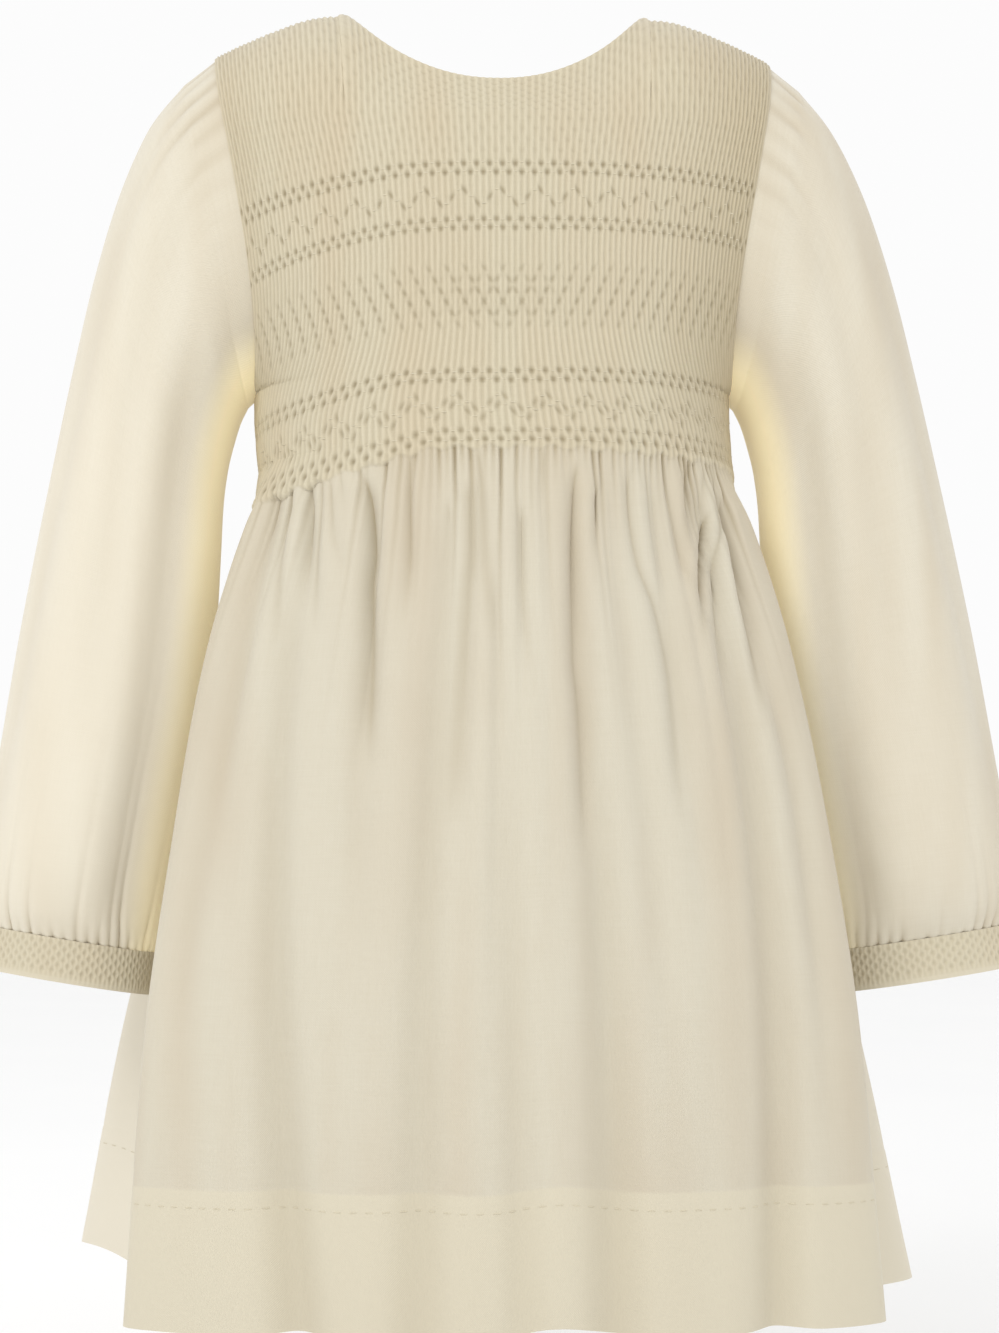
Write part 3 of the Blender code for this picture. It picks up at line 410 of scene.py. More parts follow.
class Finish:
    # a material whose nodes are added one by one
    def __init__(self, name, roughness, sheen=0.0, coat=0.0):
        self.material = bpy.data.materials.new(name)
        self.material.use_nodes = True
        self.tree = self.material.node_tree
        self.shader = self.tree.nodes["Principled BSDF"]
        fixed = {"Roughness": roughness, "Sheen Weight": sheen, "Sheen Roughness": 0.5, "Coat Weight": coat}
        for key, value in fixed.items():
            self.shader.inputs[key].default_value = value

    def node(self, kind, settings=None, values=None):
        made = self.tree.nodes.new(kind)
        for key, value in (settings or {}).items():
            setattr(made, key, value)
        for key, value in (values or {}).items():
            if isinstance(value, Signal):
                self.tree.links.new(value.socket, made.inputs[key])
            else:
                made.inputs[key].default_value = value
        return made

    def signal(self, kind, settings=None, values=None, output=0):
        return Signal(self, self.node(kind, settings, values).outputs[output])

    def mark(self, key):
        return self.signal("ShaderNodeAttribute", {"attribute_name": key}, output="Fac")

    def ownPlace(self):
        return self.signal("ShaderNodeTexCoord", output="Object")

    def stretched(self, place, scale):
        return self.signal("ShaderNodeMapping", values={"Vector": place, "Scale": scale})

    def noise(self, place, scale, detail):
        values = {"Vector": place, "Scale": scale, "Detail": detail}
        return self.signal("ShaderNodeTexNoise", values=values)

    def blend(self, factor, first, second):
        # a colour mixed from the first to the second by factor
        settings = {"data_type": "RGBA", "clamp_factor": True}
        return self.signal("ShaderNodeMix", settings, {0: factor, 6: first, 7: second}, output=2)

    def feed(self, key, value):
        self.tree.links.new(value.socket, self.shader.inputs[key])


weave = {
    "roughness": 0.86,
    "sheen": 0.25,
    "threadsPerMetre": 1400,
    # thicker threads: how fast they change along and across themselves, and how much they show
    "slubScale": (60, 1500),
    "slubDetail": 2.0,
    "slubContrast": 1.6,
    "blotchScale": 26.0,
    "blotchDetail": 3.0,
    "blotchShare": 0.3,
    "streakScale": (38, 38, 4),
    "streakFrom": 0.48,
    "streakContrast": 1.7,
    "threadRaise": 0.25,
    "slubRaise": 0.35,
    "reliefStrength": 0.35,
    "reliefHeight": 0.0004,
}


def clothFinish(name, tones, stitchedAndPaintedShade=None, glow=None):
    # plain weave as two crossing sines, thicker threads, blotches and streaks, and the piece's own marks:
    # painted shade in valleys, warm painted light and shade, double cloth, and paler painted light on
    # sleeves and cuffs.
    # The second tones show where it is stitched; glow is painted light, emitted along the warm mark where
    # light comes through single cloth
    finish = Finish(name, weave["roughness"], sheen=weave["sheen"])
    place = finish.signal("ShaderNodeUVMap", {"uv_map": "cloth"})
    parts = finish.node("ShaderNodeSeparateXYZ", values={0: place})
    turns = 2 * math.pi * weave["threadsPerMetre"]
    across, along = (Signal(finish, parts.outputs[k]) * turns for k in (0, 1))
    across, along = across.maths("SINE", across), along.maths("SINE", along)
    slow, fast = weave["slubScale"]
    slubs = [finish.noise(finish.stretched(place, scale), 1.0, weave["slubDetail"])
             for scale in ((slow, fast, 1), (fast, slow, 1))]
    mottle = (slubs[0] + slubs[1]) * 0.5
    own = finish.ownPlace()
    blotch = finish.noise(own, weave["blotchScale"], weave["blotchDetail"])
    streak = finish.noise(finish.stretched(own, weave["streakScale"]), 1.0, 1.0)
    blotched = (streak - weave["streakFrom"]) * weave["streakContrast"] + blotch * weave["blotchShare"]
    # painted shade in valleys, warm painted light and shade, and double cloth with paler painted light
    paintedShade, warmTintLightAndShade, doubleClothAndPaintedLight = finish.mark("paintedShade"), finish.mark("warmTintLightAndShade"), finish.mark("doubleClothAndPaintedLight")

    def shades(chosen):
        shade = finish.blend((mottle - 0.5) * weave["slubContrast"] + 0.5, chosen["thread"], chosen["light"])
        steps = ((blotched, "blotch"), (doubleClothAndPaintedLight, "doubleClothAndPaintedLight"), (warmTintLightAndShade, "warmShadeAndLight"), (paintedShade, "paintedShade"))
        for share, tone in steps:
            shade = finish.blend(share, shade, chosen[tone])
        return shade

    shade = shades(tones)
    if stitchedAndPaintedShade:
        shade = finish.blend(finish.mark("stitchedAndPaintedShade"), shade, shades(stitchedAndPaintedShade))
    # painted light: the cloth emits a glow along the warm mark, though it is no lamp
    if glow:
        finish.shader.inputs["Emission Strength"].default_value = 1.0
        finish.feed("Emission Color", finish.blend(warmTintLightAndShade, colour(0, 0, 0), glow))
    finish.feed("Base Color", shade)
    height = across * along * weave["threadRaise"] + mottle * weave["slubRaise"]
    values = {"Strength": weave["reliefStrength"], "Distance": weave["reliefHeight"], "Height": height}
    finish.feed("Normal", finish.signal("ShaderNodeBump", values=values))
    return finish.material


def colour(red, green, blue):
    return (red, green, blue, 1.0)


# warm tone: painted shade; double: paler painted light for the cuffs; valley: painted shade in ribs and
# holes
smockedTones = {
    "light": colour(0.615, 0.555, 0.415),
    "thread": colour(0.565, 0.505, 0.365),
    "blotch": colour(0.575, 0.490, 0.345),
    "warmShadeAndLight": colour(0.50, 0.425, 0.285),
    "doubleClothAndPaintedLight": colour(0.60, 0.545, 0.42),
    "paintedShade": colour(0.250, 0.200, 0.115),
}
# warm tone: painted shade at the skirt's sides and waist; double: double cloth; valley: painted shade in
# folds
plainTones = {
    "light": colour(0.600, 0.557, 0.453),
    "thread": colour(0.560, 0.513, 0.402),
    "blotch": colour(0.525, 0.450, 0.335),
    "warmShadeAndLight": colour(0.56, 0.475, 0.315),
    "doubleClothAndPaintedLight": colour(0.605, 0.552, 0.425),
    "paintedShade": colour(0.330, 0.265, 0.155),
}
# a lighter copy of the plain tones as painted light; warm and double are painted light, valley painted shade
litSleeveTones = {
    "light": colour(0.655, 0.608, 0.502),
    "thread": colour(0.605, 0.553, 0.438),
    "blotch": colour(0.550, 0.470, 0.340),
    "warmShadeAndLight": colour(0.900, 0.800, 0.500),
    "doubleClothAndPaintedLight": colour(0.800, 0.745, 0.620),
    "paintedShade": colour(0.400, 0.320, 0.200),
}
smockedCotton = clothFinish("smockedCotton", smockedTones)
plainCotton = clothFinish("plainCotton", plainTones)
skirtCotton = clothFinish("skirtCotton", plainTones, stitchedAndPaintedShade=smockedTones)
# the back skirt has no painted warm shade; its glow is painted light at the lower corners
backTones = dict(plainTones, warmShadeAndLight=plainTones["light"])
glowingBackSkirtCotton = clothFinish("glowingBackSkirtCotton", backTones, glow=colour(0.115, 0.100, 0.078))
# the sleeves glow with painted light along the underarm
litSleeveCotton = clothFinish("litSleeveCotton", litSleeveTones, glow=colour(0.225, 0.195, 0.135))


def threadFinish(name, tone, dark, roughness, coat=0.0, scale=900.0):
    # a soft grain between two tones
    finish = Finish(name, roughness, coat=coat)
    grain = finish.noise(finish.ownPlace(), scale, 2.0)
    finish.feed("Base Color", finish.blend((grain - 0.5) * 1.4 + 0.5, dark, tone))
    return finish


thread = threadFinish("cottonThread", colour(0.66, 0.60, 0.46), colour(0.55, 0.49, 0.36), 0.7).material
print("materials ready")

# Smocked front

smocking = {
    "pleatsEachSide": 50,
    "stepsPerPleat": 5,
    "innerEvery": 4,
    "wavePleats": 6,
    "yokeRows": 34,
    "yokeRun": 0.055,
    "plainRib": 0.30,
    "ribRaise": 0.60,
    "ribPower": 0.8,
    "holeWide": 0.39,
    "holeTall": 0.00125,
    "holeFloor": 0.02,
    "pulledWide": 0.42,
    "pulledHigh": 0.88,
    "pulledShare": 0.6,
    "pull": 0.17,
    # how firm a line is for the depth of its holes, at most 1, and the share of that where it slants
    "firmForDeep": 1.6,
    "firmSlanted": 0.5,
    # small unevenness: how high, and its turns per pleat and per metre
    "unevenHigh": (0.07, 0.05),
    "unevenTurns": [(1.7, 190), (0.61, -75), (4.1, 420)],
    # painted shade: how dark ribs and holes are, how much less the ribs in a hole, and the share of it that
    # shows
    "dark": {"rib": 0.34, "hole": 0.90, "ribInHole": 0.4, "share": 0.85},
    # a flatter edge: over how many rows round the neck and pleats at the sides, how high, and its ribs
    "neckEdge": {"rows": 3, "high": 0.62, "rib": 0.2},
    "sideEdge": {"pleats": 1.5, "high": 0.45},
    # painted warm shade towards the wearer's left and right: from where, over what share, and how much
    "shades": {1: (0.40, 0.55, 0.75), -1: (0.75, 0.3, 0.3)},
    # the stitched rows lie lower or higher than the cloth's own rows: by how much at most at each level, on
    # the wearer's right and left, and from what share of the half width
    "fallLevels": [-0.060, -0.0877, -0.1131, -0.150, -0.1815, -0.208, -0.2135],
    "fallRight": [0.0040, 0.0043, 0.0040, 0.0055, 0.0105, 0.0175, 0.0185],
    "fallLeft": [-0.0025, -0.0028, -0.0032, -0.0042, -0.0050, -0.0039, -0.0005],
    "fallFromRight": [0.33, 0.33, 0.33, 0.33, 0.28, 0.18, 0.18],
    "fallFromLeft": 0.05,
    "fallRounds": 8,
    "releaseLevel": -0.2135,
    "releaseZigzag": 0.0009,
    "releaseOver": 0.0014,
    # level, how many pleats to a hole, by how many the holes are moved, how far the line falls between the
    # peaks of its wave, how deep and how tall the holes are; slant 1 turns them into lines that lean inwards
    # on their way down, and -1 into lines that lean outwards and show near the middle only
    "lines": [
        (-0.0857, 2, 0, 0.0, 1.0, 1.0, 0), (-0.0897, 2, 1, 0.0, 1.0, 1.0, 0),
        (-0.0966, 2, 0, 0.0088, 0.75, 1.1, 0),
        (-0.1112, 2, 1, 0.0, 0.9, 1.0, 0), (-0.1151, 2, 0, 0.0, 0.9, 1.0, 0),
        (-0.1335, 3, 0, 0.0, 0.45, 1.5, 1), (-0.1385, 3, 1, 0.0, 0.60, 1.6, 1),
        (-0.1435, 3, 2, 0.0, 0.68, 1.6, 1), (-0.1485, 3, 3, 0.0, 0.68, 1.6, 1),
        (-0.1535, 3, 4, 0.0, 0.60, 1.6, 1), (-0.1585, 3, 5, 0.0, 0.45, 1.5, 1),
        (-0.1385, 3, 1, 0.0, 0.55, 1.6, -1), (-0.1435, 3, 2, 0.0, 0.60, 1.6, -1),
        (-0.1485, 3, 3, 0.0, 0.60, 1.6, -1), (-0.1535, 3, 4, 0.0, 0.55, 1.6, -1),
        (-0.1795, 2, 0, 0.0, 0.95, 1.0, 0), (-0.1835, 2, 1, 0.0, 0.95, 1.0, 0),
        (-0.1895, 2, 0, 0.0080, 0.55, 1.1, 0), (-0.1935, 2, 1, 0.0080, 0.6, 1.1, 0),
        (-0.2060, 2, 0, 0.0, 0.8, 1.0, 0), (-0.2100, 2, 1, 0.0, 0.9, 1.0, 0),
    ],
    "slantPerMetre": 200.0,
    "crossedPleats": 9.0,
    # faint rows that only hold the pleats of the yoke
    "heldRows": {"from": -0.012, "to": -0.080, "apart": 0.0052, "deep": 0.20, "tall": 0.8},
    # how far apart the rows of points lie from each level down to the next
    "rows": [(-0.0600, 0.0018), (-0.0790, 0.00105), (-0.2105, 0.0)],
}


def patternLevel(across, level):
    # level on the pattern of a place on the cloth, found in a few rounds as level plus the fall of its row
    levels = -np.array(smocking["fallLevels"])
    found = level + 0 * across
    for _ in range(smocking["fallRounds"]):
        right, left, start = (np.interp(-found, levels, smocking[key])
                              for key in ("fallRight", "fallLeft", "fallFromRight"))
        most = np.where(across < 0, right, left)
        start = np.where(across < 0, start, smocking["fallFromLeft"])
        out = np.clip((np.abs(across) - start) / (1 - start), 0, 1)
        found = level + most * np.sin(math.pi / 2 * out)
    return found


def waveDrop(pleat):
    # share of the way from the nearest peak of a wave to its trough
    half = smocking["wavePleats"] / 2
    return np.abs((pleat + half) % smocking["wavePleats"] - half) / half


def fromHole(pleat, shift, every):
    # pleats from the nearest hole of a line that has one between every so many pleats
    return (pleat - 0.5 - shift + every / 2) % every - every / 2


def stitchedLines(pleat, level):
    # for each line: how near a place is, its distance from a hole, pleats to a hole, how firm and how deep
    fromPeak = waveDrop(pleat)
    inwards = np.where(pleat > 0, -1, 1)
    held = smocking["heldRows"]
    heldLevels = np.arange(held["from"], held["to"], -held["apart"])
    heldLines = [(at, 2, k % 2, 0.0, held["deep"], held["tall"], 0) for k, at in enumerate(heldLevels)]
    for top, every, shift, drop, deep, tall, slant in smocking["lines"] + heldLines:
        at = top - drop * fromPeak
        near = bump(level - at, smocking["holeTall"] * tall)
        if slant < 0:
            near = near * bump(pleat, smocking["crossedPleats"])
        if slant:
            shift = slant * inwards * (shift + smocking["slantPerMetre"] * (at - level))
        firm = min(1, deep * smocking["firmForDeep"]) * (smocking["firmSlanted"] if slant else 1)
        yield near, fromHole(pleat, shift, every), every, firm, deep


def drawnRibs(pleat, lines, holeWide):
    # ribs as a raised cosine of the pleat number. Each line moves them by a sine of the distance from its
    # hole, opens the hole as a bell of that distance, and pulls the pleats flat half way between two holes
    moved, holes, pulled = 0, 0, 0
    for near, away, every, firm, deep in lines:
        moved = moved - smocking["pull"] * firm * np.sin(2 * math.pi * away / every) * near
        holes = np.maximum(holes, near * bump(away, holeWide) * deep)
        flat = bump(np.abs(away) - every / 2, smocking["pulledWide"])
        pulled = np.maximum(pulled, firm * near * flat)
    rib = (0.5 + 0.5 * np.cos(2 * math.pi * (pleat + moved))) ** smocking["ribPower"]
    return rib, holes, pulled


def smockedRelief(pleat, level):
    # height over the base from 0 to 1, the ribs alone, and how dark each place is as painted shade
    rib, holes, pulled = drawnRibs(pleat, stitchedLines(pleat, level), smocking["holeWide"])
    broad, narrow = smocking["unevenHigh"]
    first, second, third = (np.sin(pleat * turns + rise * level) for turns, rise in smocking["unevenTurns"])
    height = smocking["plainRib"] + smocking["ribRaise"] * rib + (broad * first * second + narrow * third)
    height = height + (smocking["pulledHigh"] - height) * pulled * smocking["pulledShare"]
    dark = smocking["dark"]
    paintedShade = dark["rib"] * (1 - rib) * (1 - dark["ribInHole"] * holes) + dark["hole"] * holes
    return height * (1 - holes) + smocking["holeFloor"], rib, np.clip(paintedShade, 0, 1) * dark["share"]


def rowLevels():
    # levels between the yoke and the waist
    found = []
    for (top, step), (foot, _) in zip(smocking["rows"], smocking["rows"][1:]):
        found.append(np.linspace(top, foot, max(2, round((top - foot) / step) + 1))[:-1])
    return np.append(np.concatenate(found), smocking["rows"][-1][0])


def smockedFront():
    halfPleats, every = smocking["pleatsEachSide"], smocking["innerEvery"]
    across = np.linspace(-1, 1, 2 * halfPleats * smocking["stepsPerPleat"] + 1)
    levels = rowLevels()
    spare = (smocking["yokeRows"] + len(levels) - 1) % every
    shares = np.linspace(0, 1, smocking["yokeRows"] - spare, endpoint=False)
    grid, facing = bodicePanel(across, shares, levels, -1)
    pleat = across[None, :] * halfPleats
    level = np.concatenate([bodice["yokeLevel"] + smocking["yokeRun"] * (1 - shares), levels])[:, None]
    level = patternLevel(across[None, :], level)
    height, rib, paintedShade = smockedRelief(pleat, level)
    edge = smocking["neckEdge"]
    finished = ease(1 - np.arange(len(grid))[:, None] / edge["rows"])
    height = height + (edge["high"] + edge["rib"] * (rib - 0.5) - height) * finished
    edge = smocking["sideEdge"]
    side = np.minimum(pleat + halfPleats, halfPleats - pleat)
    height = height + (edge["high"] - height) * (1 - ease(side / edge["pleats"]))
    outer = grid + facing * smockedWall(height)[..., None]
    # painted shade, warm towards both sides and most on the wearer's left; dark in ribs and holes
    left, right = (ease((way * across[None, :] - start) / over) * most
                   for way, (start, over, most) in smocking["shades"].items())
    marks = {"paintedShade": paintedShade, "warmTintLightAndShade": left + right + 0 * level, "doubleClothAndPaintedLight": 0.0}
    inner = grid[::every, ::smocking["stepsPerPleat"]]
    piece = clothShell("front_smocking", outer, inner, clothUv(grid), marks, smockedCotton)
    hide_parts("front")
    return grid, facing, outer, level


# Skirt

skirt = {
    "hemLevel": -0.598,
    "levels": [-0.2105, -0.2400, -0.3000, -0.3800, -0.4700, -0.5980],
    "lean": [0.0020, 0.0020, 0.0020, 0.0025, 0.0030, 0.0040],
    "front": [0.0875, 0.0930, 0.1000, 0.1050, 0.1090, 0.1110],
    "foldX": [0.0980, 0.1140, 0.1315, 0.1460, 0.1580, 0.1670],
    "foldY": [-0.040, -0.036, -0.042, -0.050, -0.056, -0.060],
    "tuckX": [0.1085, 0.1115, 0.1170, 0.1240, 0.1350, 0.1490],
    "tuckY": [0.000, 0.002, 0.004, 0.006, 0.006, 0.004],
    "rightX": [0.0980, 0.1060, 0.1260, 0.1500, 0.1760, 0.2015],
    "rightY": [0.034, 0.042, 0.056, 0.072, 0.088, 0.113],
    "leftX": [0.0980, 0.1060, 0.1290, 0.1500, 0.1740, 0.1990],
    "leftY": [0.034, 0.042, 0.052, 0.062, 0.060, 0.053],
    "back": [0.070, 0.080, 0.094, 0.108, 0.120, 0.131],
    "lift": {-1: ([0, 0.49, 0.546, 0.60, 1], [0, 0, 0.005, 0, 0]),
             1: ([0, 0.17, 0.42, 0.60, 0.84, 1], [0, 0.014, 0, 0, 0.003, 0])},
    "outline": ("lean", "front", "foldX", "foldY", "tuckX", "tuckY",
                "rightX", "rightY", "leftX", "leftY", "back"),
    "waistBlend": 0.20,
    "closeRows": 30,
    "closeTo": 0.060,
    "rows": 131,
    "rowsWiden": 1.25,
    "hemStep": 0.003,
    # shares of the width or the drop over which folds, ripples and gathers grow from the seams
    "sideGrows": 0.03,
    "foldsGrow": 0.06,
    "ripplesGrow": 0.02,
    "gathersGrow": 0.012,
    "hemRise": 0.25,
    # a thinner line at the top of the hem: how deep, how far above it and how tall
    "hemLine": (0.0003, 0.0015, 0.0025),
    "puffed": {"share": 0.45, "reach": 0.03},
    "wallLeast": 0.0004,
    "hemInside": 0.0006,
    # painted shade, how dark: hollows of the folds, and how much more near the waist, creases, gathers and
    # the most of all
    "hollowDeep": 0.006,
    "hollowDark": (0.18, 0.30),
    "hollowReach": 0.12,
    "creaseDark": 0.95,
    "gatherDark": 1.15,
    "gatherPower": 1.2,
    "darkest": 0.95,
    "hemDouble": 0.85,
    # painted warmth: shade on the front at its sides and below the waist, and glowing light on the back at
    # its corners, less on the wearer's left
    "sidePaintedShade": {"most": 0.25, "over": 0.10, "atWaist": 0.25, "reach": 0.05},
    "cornerPaintedLight": {"across": (0.40, 0.25), "drop": (0.30, 0.40), "right": 1.0, "left": 0.65},
}

# Long folds as valleys: x, depth and width in mm, each at the waist and the hem, and the shares of the drop
# between which it runs
frontFolds = [
    (-103, -140, 3.0, 3.0, 6, 13, 0.00, 0.80),
    (-91, -112, 2.5, 2.0, 5, 12, 0.00, 0.60),
    (-75, -88, 3.5, 9.0, 6, 14, 0.00, 1.40),
    (-48, -58, 3.5, 3.0, 5, 13, 0.00, 0.70),
    (-21, -36, 3.0, 7.0, 6, 13, 0.05, 1.40),
    (-2, 10, 2.5, 5.0, 5, 12, 0.10, 1.30),
    (28, 50, 3.5, 8.0, 5, 14, 0.05, 1.40),
    (42, 78, 3.0, 3.0, 6, 13, 0.00, 0.80),
    (60, 98, 3.0, 2.0, 5, 12, 0.00, 0.60),
    (81, 122, 4.5, 8.0, 5, 13, 0.00, 1.40),
    (99, 145, 3.5, 3.0, 5, 10, 0.00, 0.80),
]
backFolds = [
    (-86, -160, 3.0, 7.0, 7, 16, 0.00, 1.40),
    (-62, -106, 3.0, 9.0, 7, 18, 0.05, 1.40),
    (-34, -50, 3.0, 6.0, 6, 16, 0.00, 1.20),
    (-8, -4, 3.0, 10.0, 7, 18, 0.05, 1.40),
    (22, 42, 3.0, 6.0, 6, 15, 0.00, 1.30),
    (50, 94, 3.0, 9.5, 7, 18, 0.05, 1.40),
    (80, 150, 3.0, 6.0, 7, 15, 0.00, 1.30),
]
# Creases: depth and half width in mm, how dark from 0 to 1, then x in mm and drop in hundredths along
frontCreases = [
    (1.8, 2.0, 0.4, [(17.1, 1.3), (17.3, 8.2)]),
    (1.6, 1.8, 0.4, [(25.3, 1.1), (26.6, 4.2)]),
    (2.4, 2.4, 0.5, [(30.9, 3.0), (31.4, 14.0), (31.4, 24.5), (33.5, 30.0), (36.0, 46.0)]),
    (1.6, 2.4, 0.3, [(8.9, 8.2), (9.3, 15.9), (12.8, 27.4)]),
    (2.0, 1.8, 0.7, [(40.0, 5.6), (41.7, 13.8)]),
    (2.4, 2.8, 0.4, [(53.0, 3.4), (56.9, 9.1), (61.2, 13.9), (68.5, 18.8), (74.6, 27.0), (79.0, 42.0)]),
    (2.0, 2.4, 0.4, [(67.7, 1.1), (70.7, 3.8), (75.0, 7.7), (81.0, 12.8), (88.0, 16.8)]),
    (2.6, 2.6, 0.7, [(80.6, 1.6), (81.8, 6.0), (83.2, 11.2)]),
    (2.0, 2.0, 0.5, [(89.3, 2.0), (92.3, 7.0)]),
    (3.6, 2.0, 1.0, [(93.8, 7.5), (91.8, 11.5), (90.5, 15.5), (90.8, 21.5)]),
    (2.0, 2.0, 0.5, [(96.5, 2.5), (98.6, 8.2), (98.0, 14.9), (101.0, 28.0)]),
    (3.2, 2.6, 0.8, [(101.5, 5.0), (104.9, 9.3), (109.2, 15.5), (113.9, 21.6), (118.5, 30.0)]),
    (2.6, 2.8, 0.4, [(-90.0, 5.0), (-95.6, 10.9), (-98.2, 16.8), (-99.5, 23.0)]),
    (2.6, 2.2, 0.6, [(-80.5, 3.6), (-83.1, 9.0), (-84.8, 13.0), (-87.0, 17.5)]),
    (2.4, 2.2, 0.5, [(-74.5, 3.8), (-77.5, 9.1), (-79.7, 13.9), (-81.0, 20.5)]),
    (1.8, 2.0, 0.4, [(-70.2, 3.8), (-71.5, 10.1), (-68.4, 13.5)]),
    (1.8, 1.8, 0.4, [(-65.4, 3.6), (-65.4, 7.6)]),
    (3.6, 3.2, 0.8, [(-55.5, 4.0), (-55.4, 12.0), (-57.2, 16.5), (-56.6, 23.6), (-57.4, 36.0)]),
    (2.6, 2.2, 0.6, [(-35.6, 1.6), (-37.8, 7.2), (-39.0, 13.0), (-41.6, 19.5)]),
    (2.0, 2.0, 0.5, [(-22.2, 7.6), (-22.2, 11.0)]),
    (3.4, 4.6, 0.4, [(-12.7, 5.6), (-13.1, 12.0), (-15.3, 17.8), (-18.3, 30.0), (-22.0, 44.0)]),
    (2.0, 2.6, 0.4, [(-8.8, 1.0), (-6.7, 7.2), (-6.4, 13.9), (-3.6, 23.0)]),
]
backCreases = [
    (3.4, 3.0, 0.6, [(-90, 2), (-96, 12), (-104, 26)]),
    (2.6, 3.2, 0.4, [(-47, 3), (-49, 16), (-54, 36)]),
    (2.8, 2.4, 0.6, [(-20, 1), (-22, 9), (-21, 20)]),
    (2.2, 2.2, 0.4, [(-70, 2), (-75, 14)]),
    (2.4, 3.0, 0.4, [(12, 4), (13, 20), (18, 40)]),
    (3.0, 2.4, 0.6, [(36, 1), (40, 9), (42, 19)]),
    (3.2, 3.0, 0.5, [(68, 2), (73, 12), (82, 28)]),
    (3.0, 2.6, 0.6, [(92, 1), (97, 9), (106, 20)]),
]
gathers = {
    "turns": {-1: 100, 1: 62},
    "deep": 0.0021,
    "reach": 0.019,
    "openPitch": 0.0150,
    "openDeep": 0.0014,
    "openPeak": 0.14,
    "openFade": 0.36,
}


def skirtRing(level):
    # outline at a level: a monotone curve through eight corners, which come round again, dense
    at = -np.array(skirt["levels"])
    read = {key: float(monotone(at, skirt[key], -level)) for key in skirt["outline"]}
    corners = np.array([
        (read["leftX"], read["leftY"]), (0, read["back"]), (-read["rightX"], read["rightY"]),
        (-read["tuckX"], read["tuckY"]), (-read["foldX"], read["foldY"]), (0, -read["front"]),
        (read["foldX"], read["foldY"]), (read["tuckX"], read["tuckY"]),
    ])
    along = np.linspace(0, 8, 641)
    knots = np.arange(-1, 10)
    corners = corners[(knots + 1) % 8]
    x = monotone(knots, corners[:, 0], along) + read["lean"]
    return np.stack([x, monotone(knots, corners[:, 1], along), np.full_like(along, level)], axis=1)


def evenly(points, count):
    # points at equal distances along a dense line
    along = np.concatenate([[0], np.cumsum(np.linalg.norm(np.diff(points, axis=0), axis=1))])
    at = np.linspace(0, along[-1], count)
    return np.stack([np.interp(at, along, points[:, axis]) for axis in range(3)], axis=1)


def skirtRow(level, side, count):
    ring = skirtRing(level)
    quarter = len(ring) // 4
    if side < 0:
        return evenly(ring[quarter: 3 * quarter + 1], count)
    return evenly(np.concatenate([ring[3 * quarter:-1], ring[: quarter + 1]])[::-1], count)


def shareAt(row, x):
    # share of the way along a row at which it reaches x, between its side folds
    skipped = len(row) // 6
    run = row[skipped:-skipped]
    return np.interp(x, run[:, 0], np.linspace(0, 1, len(row))[skipped:-skipped])


def foldDepth(folds, share, drop, width, side):
    # each fold is a bell across a line that runs from its x at the waist to its x at the hem
    total = np.zeros(np.broadcast_shapes(share.shape, drop.shape))
    ends = [skirtRow(level, side, 200) for level in (bodice["waistLevel"], skirt["hemLevel"])]
    for *sizes, start, end in folds:
        x, deep, wide = np.array(sizes).reshape(3, 2) / 1000
        first, last = (shareAt(row, at) for row, at in zip(ends, x))
        centre = first + (last - first) * drop
        deep, wide = (pair[0] + (pair[1] - pair[0]) * drop for pair in (deep, wide))
        kept = np.clip((drop - start) / 0.12 + 0.35, 0, 1) * np.clip((end - drop) / 0.25, 0, 1)
        total = total + deep * kept * bump((share - centre) * width, wide)
    return total


def creaseDepth(creases, rows, share, drop, width):
    # each crease is a bell across its own line with a low ridge on both sides, and a thinner line of painted
    # shade in it
    depth, dark = np.zeros_like(share * drop), np.zeros_like(share * drop)
    for deep, wide, strength, path in creases:
        places = np.array(path, float) / (1000, 100)
        x = monotone(places[:, 1], places[:, 0], drop[:, 0])
        centre = np.array([shareAt(row, at) for row, at in zip(rows, x)])[:, None]
        top, foot = places[0, 1], places[-1, 1]
        run = np.clip((drop - top) / (foot - top), 0, 1)
        kept = ease((drop - top) / 0.03 + 0.5) * ease((foot - drop) / 0.11 + 0.3)
        away = (share - centre) * width
        spread = wide / 1000 * (1 + 0.8 * run)
        ridge = 0.42 * bump(away - 2.1 * spread, 1.3 * spread)
        ridge = ridge + 0.26 * bump(away + 2.2 * spread, 1.4 * spread)
        depth = depth + deep / 1000 * kept * (bump(away, spread) - ridge)
        dark = np.maximum(dark, strength * kept * (1 - 0.55 * run) * bump(away, 0.62 * spread))
    return depth, dark


def pleats(turns, count, away, reach, seed):
    # one valley for each turn, as a squared sine with its own depth, fading with its own reach as
    # exp(-away / reach)
    pick = np.random.default_rng(seed)
    strength = 0.3 + 0.7 * pick.random(count)
    reaches = reach * (0.6 + 6.0 * pick.random(count) ** 2.4)
    number = np.floor(turns).astype(int) % count
    return np.sin(math.pi * (turns % 1)) ** 2 * strength[number] * np.exp(-away / reaches[number])


